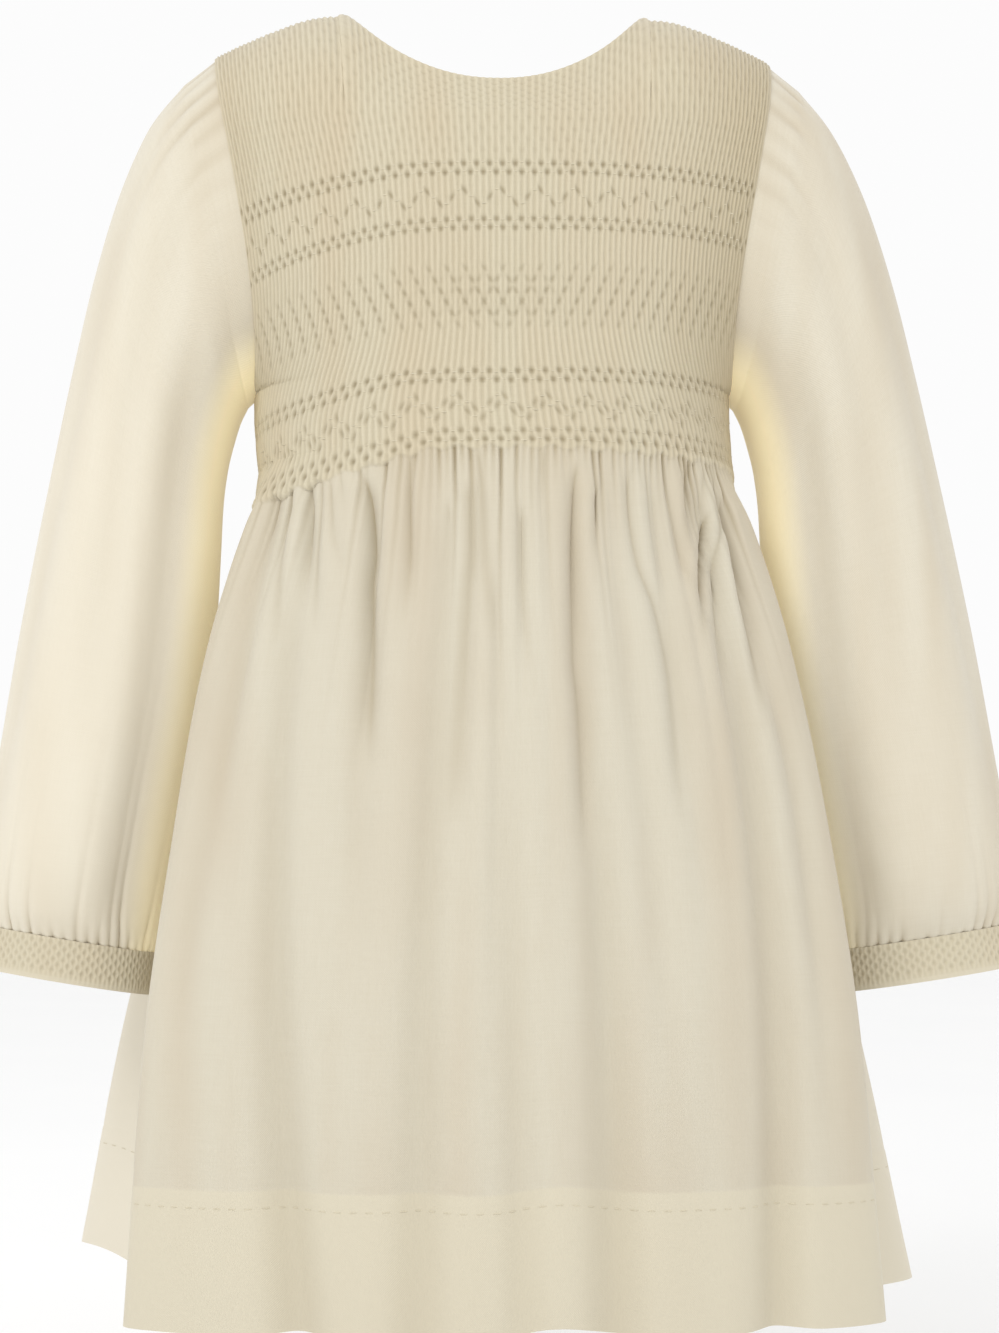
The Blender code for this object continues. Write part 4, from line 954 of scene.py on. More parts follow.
def gatherDepth(share, drop, width, side, seed):
    # one valley below each pleat, and wide open ripples a little lower
    count = gathers["turns"][side]
    turns = share * count + 0.25 * np.sin(37 * share + seed) * np.clip(drop / 0.05, 0, 1)
    close = pleats(turns, count, drop, gathers["reach"], seed)
    wander = 0.9 * np.sin(9 * share + seed) + 0.6 * np.sin(23 * share + 2 * seed)
    openTurns = share * width[0, 0] / gathers["openPitch"] + wander + 0.7 * drop
    ripple = (0.5 - 0.5 * np.cos(2 * math.pi * openTurns)) ** 1.5
    rise = np.clip(drop / gathers["openPeak"], 0, 1) * np.exp(-drop / gathers["openFade"]) * 1.6
    ripple = gathers["openDeep"] * ripple * rise * (0.6 + 0.5 * np.sin(19 * share - seed))
    return gathers["deep"] * close, ripple


def releasedSmocking(across, level):
    # the stitched rows that reach below the waist line, their painted shade, and how much of them is left:
    # all above a zig-zag line where every other pair of pleats is let go, nothing just below it
    pleat = across * smocking["pleatsEachSide"]
    height, _, paintedShade = smockedRelief(pleat, level)
    zigzag = smocking["releaseZigzag"] * np.cos(math.pi * pleat / 2)
    return height, paintedShade, ease((level - smocking["releaseLevel"] + zigzag) / smocking["releaseOver"] + 0.5)


def skirtDrops(hemTop):
    # shares of the drop: close rows under the waist, then wider and wider, with a step at the top of the hem
    first = np.linspace(0, skirt["closeTo"], skirt["closeRows"], endpoint=False)
    rest = np.linspace(0, 1, skirt["rows"] - len(first)) ** skirt["rowsWiden"]
    drops = np.concatenate([first, skirt["closeTo"] + (1 - skirt["closeTo"]) * rest])
    near = np.argmin(np.abs(drops - hemTop))
    drops[near - 1: near + 2] = hemTop - skirt["hemStep"], hemTop, hemTop + skirt["hemStep"]
    return drops[:, None]


def skirtPaintedLightAndShade(side, across, drops, kept):
    # painted light on the back towards its lower corners; painted shade on the front at the sides, by the
    # square, and below the waist
    if side > 0:
        warmShadeAndLight = skirt["cornerPaintedLight"]
        (inside, over), (top, tall) = warmShadeAndLight["across"], warmShadeAndLight["drop"]
        corner = ease((np.abs(across) - inside) / over) * ease((drops - top) / tall)
        return corner * np.where(across < 0, warmShadeAndLight["right"], warmShadeAndLight["left"])
    warmShadeAndLight, share = skirt["sidePaintedShade"], (across + 1) / 2
    atSide = np.clip(1 - np.minimum(share, 1 - share) / warmShadeAndLight["over"], 0, 1) ** 2
    below = warmShadeAndLight["atWaist"] * np.exp(-drops / warmShadeAndLight["reach"])
    return np.clip(warmShadeAndLight["most"] * atSide + below, 0, 1) * (1 - kept)


def skirtPanel(name, side, waist, folds, creases, seed):
    # rows from the waist's own line to the hem, moved in by folds, creases and ripples; the wall on them is
    # thinner in the gathers, and on the front goes over into the smocking by how much of that is kept
    across = np.linspace(-1, 1, len(waist))[None, :]
    share = (across + 1) / 2
    length = bodice["waistLevel"] - skirt["hemLevel"]
    hemTop = 1 - cloth["hemDeep"] / length
    drops = skirtDrops(hemTop)
    levels = bodice["waistLevel"] - length * drops
    grid = np.array([skirtRow(level, side, len(waist)) for level in levels[:, 0]])
    plain = grid.copy()
    held = np.clip(1 - drops / skirt["waistBlend"], 0, 1) ** 2
    grid[..., :2] += (waist - grid[0])[None, :, :2] * held[..., None]
    lift = monotone(*skirt["lift"][side], share[0])[None, :]
    grid[..., 2] += (waist[:, 2] - bodice["waistLevel"])[None, :] * (1 - drops) + lift * drops**2
    facing = outwards(grid, side)
    width = np.sum(np.linalg.norm(np.diff(grid, axis=1), axis=2), axis=1)[:, None]
    free = ease(np.minimum(share, 1 - share) / skirt["sideGrows"])
    creased, dark = creaseDepth(creases, plain, share, drops, width)
    close, ripple = gatherDepth(share, drops, width, side, seed)
    depth = foldDepth(folds, share, drops, width, side) + creased
    depth = depth * np.clip(drops / skirt["foldsGrow"], 0, 1)
    depth = (depth + ripple * np.clip(drops / skirt["ripplesGrow"], 0, 1)) * free
    close = close * free
    relief, stitchedAndPaintedShade, kept, puffed = 0, 0, 0, 0
    if side < 0:
        # the released smocking's height, its painted shade and how much of it is kept
        relief, stitchedAndPaintedShade, kept = releasedSmocking(across, patternLevel(across, levels))
        puffed = skirt["puffed"]
        puffed = cloth["smockedRaise"] * puffed["share"] * np.exp(-drops / puffed["reach"])
    else:
        close = close * np.clip(drops / skirt["gathersGrow"], 0, 1)
    grid -= facing * (depth * (1 - kept))[..., None]
    grid[..., 2] += skirt["hemRise"] * depth * drops**4
    facing = outwards(grid, side)
    facing[:, [0, -1]] = squareTo(facing[:, [0, -1]], (0, 1, 0))
    grid[1:, [0, -1], 1] += side * cloth["seamGap"] / 2
    doubleClothAndPaintedLight = (drops > hemTop + skirt["hemStep"] / 3) * 1.0
    lineDeep, lineAbove, lineTall = skirt["hemLine"]
    thick = cloth["thick"] - lineDeep * bump(drops - hemTop + lineAbove, lineTall)
    loose = thick + puffed - close
    outer = grid + facing * (loose + (smockedWall(relief) - loose) * kept)[..., None]
    innermost = np.minimum(0, thick - close - skirt["wallLeast"])
    inner = (grid + facing * (innermost - skirt["hemInside"] * doubleClothAndPaintedLight)[..., None])[::2, ::2]
    # painted shade: darker in fold hollows, along creases and in gathers, and in the smocking where it is
    # kept
    hollow = np.clip((depth - depth.mean(axis=1, keepdims=True)) / skirt["hollowDeep"], 0, 1)
    far, near = skirt["hollowDark"]
    hollow = hollow * (far + near * np.exp(-drops / skirt["hollowReach"]))
    gathered = (close / gathers["deep"]) ** skirt["gatherPower"] * skirt["gatherDark"]
    paintedShade = np.maximum(hollow, np.maximum(dark * skirt["creaseDark"], gathered))
    paintedShade = np.clip(paintedShade, 0, skirt["darkest"])
    marks = {
        "paintedShade": paintedShade + (stitchedAndPaintedShade - paintedShade) * kept,
        "doubleClothAndPaintedLight": doubleClothAndPaintedLight * skirt["hemDouble"],
        "warmTintLightAndShade": skirtPaintedLightAndShade(side, across, drops, kept),
        "stitchedAndPaintedShade": kept,
    }
    material = skirtCotton if side < 0 else glowingBackSkirtCotton
    piece = clothShell(name, outer, inner, clothUv(grid), marks, material)
    hemRow = np.argmin(np.abs(drops - hemTop)) + 2
    return piece, outer[hemRow], facing[hemRow]


def smockingThreads(outer, facing, level):
    # a short thread across each pair of pleats that a stitched line draws together, not on the slanted lines
    half, steps = smocking["pleatsEachSide"], smocking["stepsPerPleat"]
    starts, ends, outs = [], [], []
    for top, every, shift, drop, _, _, slant in smocking["lines"]:
        if slant:
            continue
        pleat = 0.5 + shift + every / 2 + every * np.arange(-half // every - 1, half // every + 1)
        pleat = pleat[np.abs(pleat) < half - 2]
        at = top - drop * waveDrop(pleat)
        column = np.round((pleat + half) * steps).astype(int)
        away = np.abs(level[:, column] - at[None, :])
        row = np.argmin(away, axis=0)
        kept = away.min(axis=0) < smocking["holeTall"]
        row, column = row[kept], column[kept]
        lift = facing[row, column] * threadForm["smockedLift"]
        starts.append(outer[row, column - 2] + lift)
        ends.append(outer[row, column + 2] + lift)
        outs.append(facing[row, column])
    starts, ends, outs = (np.concatenate(part) for part in (starts, ends, outs))
    bars("smocking_threads", starts, ends, outs, threadForm["smocked"], "smocked_cotton")


smockedGrid, smockedFacing, smockedOuter, smockedLevel = smockedFront()
smockingThreads(smockedOuter, smockedFacing, smockedLevel)
print("smocked front ready")
frontSkirt, *frontHem = skirtPanel("front_skirt", -1, smockedGrid[-1], frontFolds, frontCreases, 7)
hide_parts("front")

backWaist = evenly(bodiceSurface(np.linspace(-1, 1, 400), np.array(bodice["waistLevel"]), 1), 401)
backWaist[:, 2] -= cloth["seamGap"]
backWaist[[0, -1], 1] = cloth["seamGap"] / 2
backSkirt, *backHem = skirtPanel("back_skirt_cloth", 1, backWaist, backFolds, backCreases, 21)
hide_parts("back_skirt")


def hemStitches(name, line, facing):
    # running stitches along the top of the hem: three columns of thread in every seven
    first = np.arange(4, len(line) - 8, 7)
    lift = threadForm["lift"]
    starts, ends = line[first] + facing[first] * lift, line[first + 3] + facing[first + 3] * lift
    bars(name, starts, ends, facing[first], threadForm["running"], "plain_cotton")


hemStitches("front_hem_stitches", *frontHem)
hemStitches("back_hem_stitches", *backHem)
print("skirt ready")

# Sleeves

sleeve = {
    "outerX": [0.1430, 0.1575, 0.1725, 0.1860, 0.1972, 0.2077,
               0.2177, 0.2262, 0.2342, 0.2412, 0.2437, 0.2417],
    "outerZ": [-0.0345, -0.0525, -0.0820, -0.1220, -0.1665, -0.2130,
               -0.2590, -0.3010, -0.3460, -0.3885, -0.4105, -0.4240],
    "innerX": [0.1150, 0.1185, 0.1215, 0.1245, 0.1265, 0.1275,
               0.1290, 0.1325, 0.1395, 0.1475, 0.1525, 0.1560],
    "innerZ": [-0.1835, -0.1910, -0.2010, -0.2140, -0.2310, -0.2530,
               -0.2830, -0.3180, -0.3570, -0.3980, -0.4220, -0.4370],
    "halfDepth": [0.0485, 0.0475, 0.0460, 0.0445, 0.0430, 0.0415,
                  0.0405, 0.0395, 0.0385, 0.0360, 0.0300, 0.0215],
    "rightFrom": 0.160,
    "rightCloser": 0.10,
    "columns": 288,
    "capRows": 12,
    "rows": 132,
    "foldsStop": 0.10,
    # pleats at the cuff and the cap; their dark is painted shade in the pleats
    "cuffPleats": {"count": 46, "deep": 0.0026, "reach": 0.018, "seed": 5, "dark": 0.9},
    "capPleats": {"count": 34, "deep": 0.0018, "reach": 0.022, "seed": 9, "dark": 0.5},
    "capOutside": 0.35,
    "darkPower": 1.3,
    "darkest": 0.8,
    # painted shade: a fold of the first depth is as dark as the second, and none is darker than the third
    "foldDark": (0.0035, 0.12, 0.3),
    "tuck": -0.0018,
    # painted warm light at the underarm: where it starts, how soon it is whole, and its most and how much
    # less at the cuff
    "underarm": (0.60, 0.36),
    "underarmPaintedLight": (0.95, 0.25),
    # painted light: the lower sleeve made paler, much more on the wearer's right
    "paler": {-1: 0.42, 1: 0.10},
    "palerOver": 2.2,
}
# Degrees from the outer edge by way of the front, how far it turns on its way down, depth in mm, width in
# degrees, and the shares of the sleeve between which it runs
sleeveFolds = [
    (40, -20, 3.5, 16, 0.10, 0.85),
    (75, 15, 3.0, 14, 0.00, 0.70),
    (118, 10, 4.0, 16, 0.15, 1.00),
    (215, 10, 3.5, 16, 0.10, 0.90),
    (262, -15, 3.0, 14, 0.00, 0.80),
    (318, 20, 3.5, 16, 0.10, 0.85),
]


def armholeRing(turn):
    # the bodice's armhole edge, moved out by the thickness that its wall has towards the arm
    ring = np.zeros((len(turn), 3))
    levels = np.linspace(bodice["yokeLevel"], underarmZ, 13)
    shares = np.arange(4) / 4
    onAxis = 1e-9
    for side, thick in ((-1, smockedWall(0.5)), (1, cloth["thick"])):
        grid, facing = bodicePanel(np.linspace(-1, 1, 97), shares, levels, side)
        chosen = np.sin(turn) > -onAxis if side < 0 else np.sin(turn) < -onAxis
        x, y, z = armholePoint(np.cos(turn[chosen]), side)
        towardsArm = np.interp(-z, -grid[:, -1, 2], facing[:, -1, 0] * thick)
        ring[chosen] = np.stack([x + towardsArm + sleeve["tuck"], y, z], axis=1)
    return ring


def sleeveSection(at):
    # outer edge, inner edge and half depth of the oval at each place down the arm
    knots = np.arange(len(sleeve["outerX"]))
    outerX, outerZ, innerX, innerZ, halfDepth = (
        monotone(knots, sleeve[key], at) for key in ("outerX", "outerZ", "innerX", "innerZ", "halfDepth"))
    zero = np.zeros_like(outerX)
    return np.stack([outerX, zero, outerZ], axis=-1), np.stack([innerX, zero, innerZ], axis=-1), halfDepth


def ovalRings(outer, inner, halfDepth, turn, inset):
    # centre + cos(turn) * half width * across - sin(turn) * half depth * y, the halves less the inset
    halfWidth = np.linalg.norm(outer - inner, axis=-1) / 2
    across = (outer - inner) / (2 * halfWidth[:, None])
    grid = ((outer + inner) / 2)[:, None, :] + across[:, None, :] * (
        np.cos(turn)[None, :] * (halfWidth[:, None] - inset))[..., None]
    grid[..., 1] -= np.sin(turn)[None, :] * (halfDepth[:, None] - inset)
    return grid


def placed(points, hand):
    # the left sleeve's points, or mirrored for the right one, which hangs a little closer
    if hand > 0:
        return points
    points = points * np.array([-1, 1, 1])
    points[..., 0] += sleeve["rightCloser"] * np.maximum(-points[..., 0] - sleeve["rightFrom"], 0)
    return points


def cuffAxes():
    # across the cuff's mouth and out of it
    across = unit(np.array([sleeve["outerX"][-1] - sleeve["innerX"][-1], 0,
                            sleeve["outerZ"][-1] - sleeve["innerZ"][-1]]))
    return across, np.array([across[2], 0, -across[0]])


def endPleats(kind, turn, away, wander, hand):
    # pleats of the cap or the cuff by their distance from that end, straying from even as they leave it
    count = kind["count"]
    turns = (turn / (2 * math.pi))[None, :] * count + wander * away
    return pleats(turns, count, away, kind["reach"], kind["seed"] + hand)


def sleeveCloth(name, hand, seed):
    # ovals down the arm, moved in by long folds and by pleats at both ends, under a cap from the armhole
    turn = fullTurn(sleeve["columns"])
    last = len(sleeve["outerX"]) - 1
    at = np.linspace(0, last, sleeve["rows"] - sleeve["capRows"] + 1)
    share = (at / last)[:, None]
    degrees = np.degrees(turn)[None, :]
    depth = 0
    for place, twist, deep, wide, start, end in sleeveFolds:
        away = (degrees - place - twist * share + 180) % 360 - 180
        kept = np.clip((share - start) / 0.2 + 0.2, 0, 1) * np.clip((end - share) / 0.2 + 0.2, 0, 1)
        depth = depth + deep / 1000 * kept * bump(away, wide)
    wander = 0.35 * np.sin(3 * turn + seed) + 0.25 * np.sin(7 * turn + 2 * seed)
    cuffEnd, capEnd = sleeve["cuffPleats"], sleeve["capPleats"]
    atCuff = endPleats(cuffEnd, turn, 1 - share, wander, hand)
    atCap = endPleats(capEnd, turn, share, wander, hand)
    atCap = atCap * np.clip(np.cos(turn) + sleeve["capOutside"], 0, 1)
    depth = depth * ease((1 - share) / sleeve["foldsStop"])
    depth = depth + cuffEnd["deep"] * atCuff + capEnd["deep"] * atCap
    # painted shade in the end pleats, and below from the depth of the long folds
    power = sleeve["darkPower"]
    dark = np.clip(cuffEnd["dark"] * atCuff**power + capEnd["dark"] * atCap**power, 0, sleeve["darkest"])
    outer, inner, halfDepth = sleeveSection(at)
    rings = ovalRings(outer, inner, halfDepth, turn, depth)
    over = np.linspace(0, 1, sleeve["capRows"], endpoint=False)[:, None, None]
    grid = np.concatenate([armholeRing(turn) * (1 - over) + rings[0] * over, rings])
    facing = outwards(grid, 1, closed=True)
    facing[0] = squareTo(facing[0], (1, 0, 0))
    facing[-1] = squareTo(facing[-1], cuffAxes()[1])
    outerFace = placed(grid + facing * cloth["thick"], hand)
    innerFace = placed(grid, hand)[::2, ::2]
    share = np.concatenate([np.zeros(sleeve["capRows"]), at / last])[:, None]
    wholeDeep, wholeDark, most = sleeve["foldDark"]
    paintedShade = np.maximum(dark, np.clip(depth / wholeDeep * wholeDark, 0, most))
    paintedShade = np.concatenate([np.repeat(paintedShade[:1], sleeve["capRows"], axis=0), paintedShade])
    inside, over = sleeve["underarm"]
    warmShadeAndLight, cooler = sleeve["underarmPaintedLight"]
    # painted shade in folds and pleats, painted warm light along the underarm, and paler painted light lower
    # down
    marks = {
        "paintedShade": paintedShade,
        "warmTintLightAndShade": ease((-np.cos(turn)[None, :] - inside) / over) * (warmShadeAndLight - cooler * share),
        "doubleClothAndPaintedLight": sleeve["paler"][hand] * np.clip(sleeve["palerOver"] * share, 0, 1),
    }
    piece = clothShell(name + "_cloth", outerFace, innerFace, clothUv(grid, True), marks, litSleeveCotton, True)
    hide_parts(name)


cuff = {
    "high": 0.0195,
    "flare": 0.0010,
    "ease": 0.0008,
    "pleats": 108,
    "stepsPerPleat": 4,
    "innerEvery": 4,
    "rows": 33,
    "lines": [0.11, 0.235, 0.36, 0.485, 0.61, 0.735],
    "lineTall": 0.055,
    "holeWide": 0.42,
    "holeDeep": 0.5,
    "holeFloor": 0.03,
    "plainRib": 0.45,
    "ribRaise": 0.35,
    "pulledHigh": 0.85,
    "pulledShare": 0.6,
    # painted shade: how dark ribs and holes are, and the share of it that shows
    "dark": {"rib": 0.3, "hole": 0.9, "share": 0.42},
    # the plain edge at the mouth: from what share down, over how much, how high, its ribs, and how pale as
    # painted light
    "edge": {"from": 0.86, "over": 0.05, "high": 0.55, "rib": 0.1, "pale": 0.5},
    # a paler tone as painted light over the whole cuff
    "pale": 0.3,
}


def cuffCloth(name, hand):
    # an oval band along the arm, its pleats drawn together in pairs by turns
    across, away = cuffAxes()
    columns = cuff["pleats"] * cuff["stepsPerPleat"]
    turn = fullTurn(columns)
    share = np.linspace(0, 1, cuff["rows"])
    outer, inner, halfDepth = sleeveSection(np.array([len(sleeve["outerX"]) - 1.0]))
    spread = cuff["flare"] * share - cuff["ease"]
    shift = away[None, :] * (cuff["high"] * share)[:, None]
    wider = across * spread[:, None]
    grid = ovalRings(outer + shift + wider, inner + shift - wider, halfDepth + spread, turn, 0.0)
    facing = squareTo(outwards(grid, 1, closed=True), away)
    pleat = np.arange(columns)[None, :] / cuff["stepsPerPleat"]
    down = share[:, None]
    lines = ((bump(down - line, cuff["lineTall"]), fromHole(pleat, number, 2), 2, 1, cuff["holeDeep"])
             for number, line in enumerate(cuff["lines"]))
    rib, holes, pulled = drawnRibs(pleat, lines, cuff["holeWide"])
    height = cuff["plainRib"] + cuff["ribRaise"] * rib
    height = height + (cuff["pulledHigh"] - height) * pulled * cuff["pulledShare"]
    height = height * (1 - holes) + cuff["holeFloor"]
    mouth, dark = cuff["edge"], cuff["dark"]
    edge = ease((down - mouth["from"]) / mouth["over"])
    height = height + (mouth["high"] + mouth["rib"] * rib - height) * edge
    outerFace = placed(grid + facing * smockedWall(height)[..., None], hand)
    # painted shade in ribs and holes, none at the mouth; paler as painted light
    paintedShade = np.clip(dark["rib"] * (1 - rib) + dark["hole"] * holes, 0, 1) * (1 - edge)
    pale = cuff["pale"] + mouth["pale"] * edge
    marks = {"paintedShade": paintedShade * dark["share"], "warmTintLightAndShade": 0.0, "doubleClothAndPaintedLight": pale}
    innerFace = placed(grid, hand)[::cuff["innerEvery"], ::cuff["stepsPerPleat"]]
    uv = clothUv(grid, True)
    piece = clothShell(name + "_cloth", outerFace, innerFace, uv, marks, smockedCotton, True)
    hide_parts(name)


for hand, word in ((-1, "right"), (1, "left")):
    sleeveCloth(f"sleeve_{word}", hand, 0.4 + hand)
    cuffCloth(f"cuff_{word}", hand)
print("sleeves and cuffs ready")

# Back bodice

opening = {
    "lap": 0.009,
    "lift": 0.0021,
    "blend": 0.030,
    "halfColumns": 73,
    "lapColumns": 13,
    "yokeRows": 16,
    "rows": 57,
    # how high two soft unevennesses are, kept off the middle and the sides, and how buttons draw the cloth
    "uneven": (0.0005, 0.0003),
    "unevenFrom": 0.03,
    "unevenTo": (0.11, 0.02),
    "drawn": {"deep": 0.0004, "tall": 0.006, "x": 0.018, "wide": 0.012},
    # painted shadow beside the lap's edge: how far out, how wide and how dark
    "edgeDark": {"out": 0.0006, "wide": 0.0009, "most": 0.25},
    "warmTintLightAndShade": 0.1,
    "lapDouble": 0.7,
    "stitchX": 0.0078,
    "stitchZ": (-0.030, -0.206, -0.0042),
    "stitchLong": 0.0026,
    "buttons": [-0.036, -0.084, -0.132, -0.180],
    "holeHalfLong": 0.0074,
    "holeHalfHigh": 0.0008,
    "holeSteps": 56,
    # the inner and outer ends of its threads, in half heights of the hole
    "holeGrown": (0.4, 1.9),
    "holeBlunt": 1.25,
}


def backHalves():
    # two plain halves on one surface; the right one is lifted where it laps over the left
    lap = opening["lap"]
    half = np.linspace(lap / neck["shoulderX"], 1, opening["halfColumns"])
    middle = np.linspace(-half[0], half[0], opening["lapColumns"])[1:-1]
    shares = np.linspace(0, 1, opening["yokeRows"], endpoint=False)
    levels = np.linspace(bodice["yokeLevel"], bodice["waistLevel"], opening["rows"])
    grid, facing = bodicePanel(np.concatenate([-half[::-1], middle, half]), shares, levels, 1)
    first = opening["halfColumns"] - 1
    broad, narrow = opening["uneven"]
    (side, sideOver), inside = opening["unevenTo"], opening["unevenFrom"]
    drawn, edge = opening["drawn"], opening["edgeDark"]
    halves = (("left", slice(first, None), 0), ("right", slice(None, first + opening["lapColumns"]), 1))
    for word, columns, lift in halves:
        points, out = grid[:, columns], facing[:, columns]
        x, z = points[..., 0], points[..., 2]
        raised = lift * opening["lift"] * ease((x + lap + opening["blend"]) / opening["blend"])
        soft = broad * np.sin(x * 90 + z * 60) * np.sin(z * 70 + 1) + narrow * np.sin(x * 210 - z * 35)
        soft = soft * ease(np.abs(x) / inside - 0.5) * ease((side - np.abs(x)) / sideOver)
        pull = sum(drawn["deep"] * bump(z - level, drawn["tall"]) for level in opening["buttons"])
        pull = pull * bump(np.abs(x) - drawn["x"], drawn["wide"])
        inner = points + out * raised[..., None]
        outer = inner + out * (cloth["thick"] + soft - pull)[..., None]
        # a painted shadow along the lap's edge
        stitchedAndPaintedShade = bump(np.abs(x) - lap - edge["out"], edge["wide"])
        doubleClothAndPaintedLight = (np.abs(x) < lap) * opening["lapDouble"]
        marks = {"paintedShade": edge["most"] * stitchedAndPaintedShade, "warmTintLightAndShade": opening["warmTintLightAndShade"], "doubleClothAndPaintedLight": doubleClothAndPaintedLight}
        name = f"back_bodice_{word}_cloth"
        piece = clothShell(name, outer, inner[::2, ::2], clothUv(points), marks, plainCotton)
        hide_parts(f"back_bodice_{word}")
    return outer


def flatBars(name, starts, ends, lift, radius):
    # threads that lie on the back
    starts, ends = np.concatenate(starts), np.concatenate(ends)
    outs = np.broadcast_to(np.array([0.0, 1.0, 0.0]), starts.shape)
    bars(name, starts + outs * lift, ends + outs * lift, outs, radius, "plain_cotton")


def placketStitches(outer):
    # two upright lines of running stitches, one on each edge of the lap
    z = np.arange(*opening["stitchZ"])
    starts, ends = [], []
    for x in (-opening["stitchX"], opening["stitchX"]):
        starts.append(onCloth(outer, np.full_like(z, x), z))
        ends.append(onCloth(outer, np.full_like(z, x), z - opening["stitchLong"]))
    flatBars("placket_stitches", starts, ends, threadForm["lift"], threadForm["running"])


def buttonholes(outer):
    # close threads across the edge of each long hole, which reaches a little past its button
    turn = fullTurn(opening["holeSteps"])
    straight = opening["holeHalfLong"] - opening["holeHalfHigh"]
    starts, ends = [], []
    for level in opening["buttons"]:
        for grown, found in zip(opening["holeGrown"], (starts, ends)):
            x = np.clip(np.cos(turn) * opening["holeHalfLong"] * opening["holeBlunt"], -straight, straight)
            x = x + np.cos(turn) * opening["holeHalfHigh"] * grown
            found.append(onCloth(outer, x, level + np.sin(turn) * opening["holeHalfHigh"] * grown))
    flatBars("buttonhole_stitches", starts, ends, 0.0, threadForm["buttonhole"])


button = {
    "radius": 0.0056,
    "thick": 0.0022,
    "off": 0.0040,
    "dish": 0.0006,
    "dishTo": 0.75,
    "rings": 22,
    "firstRing": 0.02,
    "sides": 48,
    # the share of the radius from which face and back round off
    "faceFlat": 0.8,
    "backFlat": 0.85,
    "eyeRadius": 0.0009,
    "eyeX": 0.0013,
    # from how many radii out an eye falls, over how many, and how deep for the button's thickness
    "eyeFall": (1.15, 0.35, 0.62),
    # how far above and below its middle the slope of the cloth is read
    "reach": 0.004,
    # where the two threads start, in eye distances and steps up, the step, and their height over the middle
    "threadWays": [[-1, -0.25], [-1, 0.25]],
    "threadUp": 0.001,
    "threadHigh": 0.33,
}


def shellButton(number, level, outer):
    # a dished disc: rings of points from the middle of its face over a rounded rim to the middle of its
    # back, with two eyes pressed deep into the face, and two threads between them
    radius, thick, sides, eyeX = button["radius"], button["thick"], button["sides"], button["eyeX"]
    out = np.linspace(button["firstRing"], 1, button["rings"])
    face, back = (
        thick / 2 * np.sqrt(1 - np.clip((out - flat) / (1 - flat), 0, 1) ** 2)
        for flat in (button["faceFlat"], button["backFlat"]))
    face = face - button["dish"] * (1 - ease(out / button["dishTo"]))
    rings = radius * np.concatenate([out, out[-2::-1]])[:, None]
    height = np.concatenate([face, -back[-2::-1]])[:, None]
    turn = fullTurn(sides)[None, :]
    x, z = rings * np.cos(turn), rings * np.sin(turn)
    fallFrom, fallOver, fallDeep = button["eyeFall"]
    eye = np.minimum(np.hypot(x - eyeX, z), np.hypot(x + eyeX, z)) / button["eyeRadius"]
    onFace = (np.arange(len(rings)) < len(out))[:, None]
    eye = ease((fallFrom - eye) / fallOver) * onFace
    height = height - eye * thick * fallDeep
    middle = onCloth(outer, np.zeros(3), level + np.array([-1, 0, 1]) * button["reach"])
    up = unit(middle[2] - middle[0])
    away = np.array([0, up[2], -up[1]])
    place = middle[1] + away * (button["off"] - cloth["thick"] - opening["lift"] + thick / 2)
    axes = np.stack([np.array([1.0, 0, 0]), up, away])
    points = (np.stack([x, z, height], axis=-1) @ axes + place).reshape(-1, 3)
    last = len(points)
    fans = np.concatenate([capFan(0, sides, last), capFan(last - sides, sides, last + 1)])
    tips = place + np.outer([height[0].mean(), height[-1].mean()], away)
    faces = tubeQuads(len(rings), sides).tolist() + fans.tolist()
    # painted shade in the eyes
    marks = {"paintedShade": np.append(eye.ravel(), [0, 0])}
    points = np.concatenate([points, tips])
    piece = meshPiece(f"button_{number}_shell", points, faces, shellFinish, marks)
    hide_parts(f"button_{number}")
    ways = np.array(button["threadWays"])
    starts = place + ways @ np.stack([[eyeX, 0, 0], up * button["threadUp"]])
    starts = starts + away * thick * button["threadHigh"]
    return starts, starts + np.array([2 * eyeX, 0, 0]), np.broadcast_to(away, starts.shape)


shell = threadFinish("buttonShell", colour(0.84, 0.80, 0.70), colour(0.76, 0.71, 0.60), 0.28, 0.4, 260.0)
shellTone = Signal(shell, shell.shader.inputs["Base Color"].links[0].from_socket)
# painted shade: the eyes darkened towards a deep brown
shell.feed("Base Color", shell.blend(shell.mark("paintedShade"), shellTone, colour(0.16, 0.13, 0.09)))
shellFinish = shell.material
lapOuter = backHalves()
placketStitches(lapOuter)
buttonholes(lapOuter)
sewn = [shellButton(number, level, lapOuter) for number, level in enumerate(opening["buttons"], 1)]
sewn = (np.concatenate(part) for part in zip(*sewn))
bars("button_threads", *sewn, threadForm["button"], "plain_cotton")
print("back bodice ready")

# Light, floor and camera

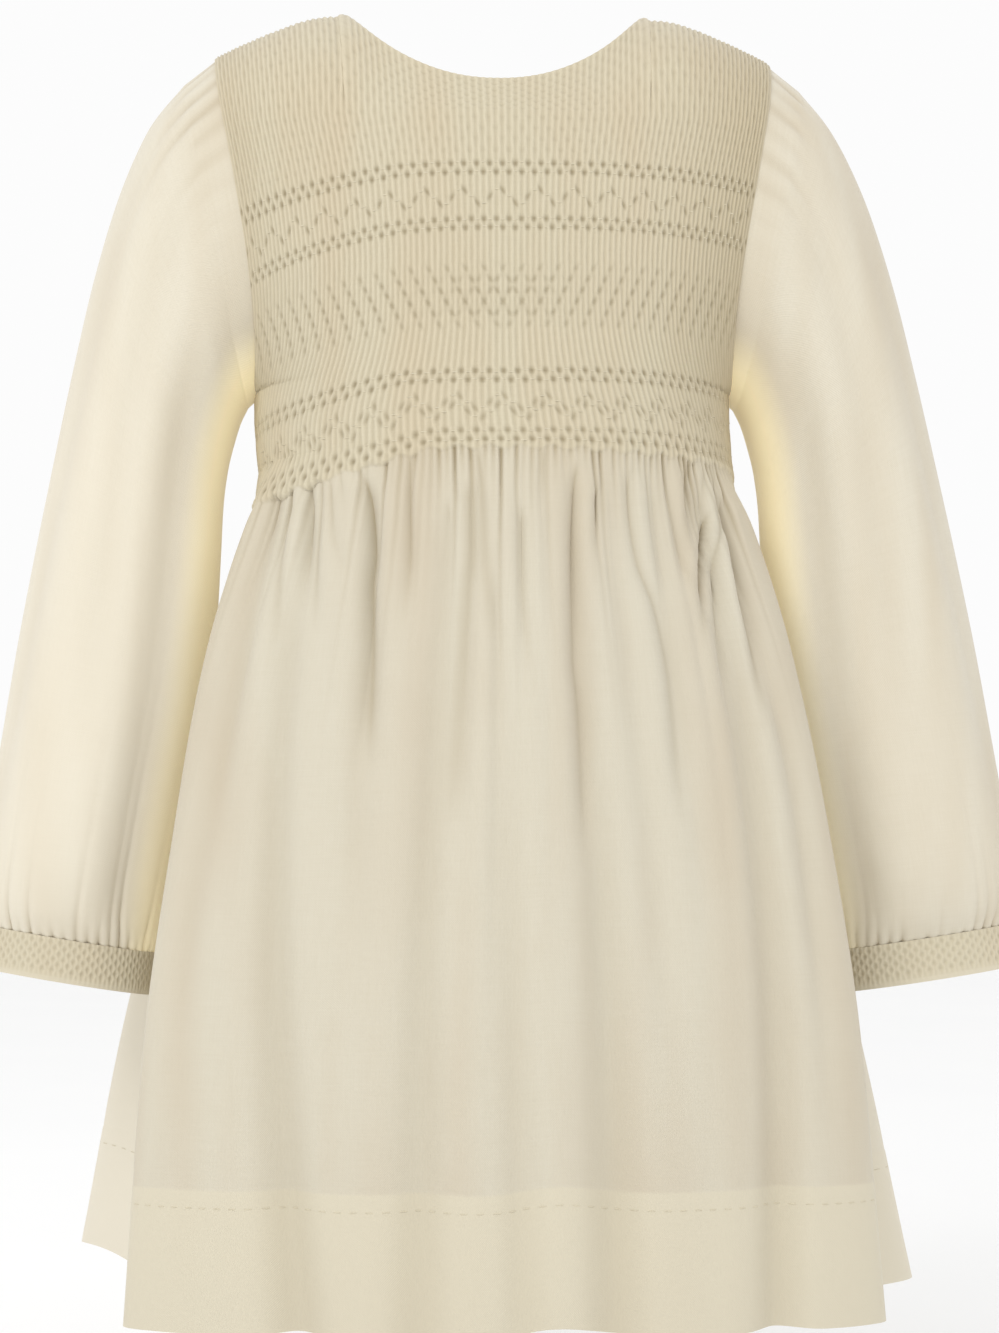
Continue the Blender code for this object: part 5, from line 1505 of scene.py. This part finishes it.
studio = {
    "floorZ": -0.66,
    "floorHalf": 14.0,
    "worldStrength": 0.975,
    "aim": (0, 0, -0.3),
    "lights": [("key", (-1.3, -1.9, 1.1), 1.3, 22.0), ("fill", (1.8, -1.6, 0.2), 1.6, 6.0)],
    "cameraPlace": (-0.0576, -1.3988, -0.381),
    "cameraTurn": -2.5,
    "cameraTilt": 3.11,
    "lens": 81.29,
    "sensor": 36,
}


def aimedLight(name, place, size, power):
    lamp = bpy.data.lights.new(name, "AREA")
    lamp.size, lamp.energy = size, power
    thing = bpy.data.objects.new(name, lamp)
    thing.location = place
    thing.rotation_euler = (Vector(studio["aim"]) - Vector(place)).to_track_quat("-Z", "Y").to_euler()
    bpy.context.scene.collection.objects.link(thing)


def floorFinish():
    finish = Finish("paleFloor", 0.7)
    grain = finish.noise(finish.ownPlace(), 3.0, 2.0)
    finish.feed("Base Color", finish.blend(grain, colour(0.93, 0.93, 0.93), colour(0.96, 0.96, 0.955)))
    return finish.material


half, deep = studio["floorHalf"], studio["floorZ"]
floorCorners = [(x * half, y * half, deep) for x, y in ((-1, -1), (1, -1), (1, 1), (-1, 1))]
floorMesh = bpy.data.meshes.new("floor")
floorMesh.from_pydata(floorCorners, [], [(0, 1, 2, 3)])
floorMesh.materials.append(floorFinish())
floor = bpy.data.objects.new("floor", floorMesh)
bpy.context.scene.collection.objects.link(floor)

world = bpy.data.worlds.new("studio")
world.use_nodes = True
background = world.node_tree.nodes["Background"]
background.inputs["Color"].default_value = (1, 1, 1, 1)
background.inputs["Strength"].default_value = studio["worldStrength"]
bpy.context.scene.world = world
bpy.context.scene.view_settings.view_transform = "Standard"
for light in studio["lights"]:
    aimedLight(*light)

camera = bpy.data.objects.new("camera", bpy.data.cameras.new("camera"))
camera.data.lens = studio["lens"]
camera.data.sensor_width = studio["sensor"]
camera.location = studio["cameraPlace"]
camera.rotation_euler = (math.radians(90 + studio["cameraTilt"]), 0, math.radians(studio["cameraTurn"]))
bpy.context.scene.collection.objects.link(camera)
bpy.context.scene.camera = camera
print("studio ready")
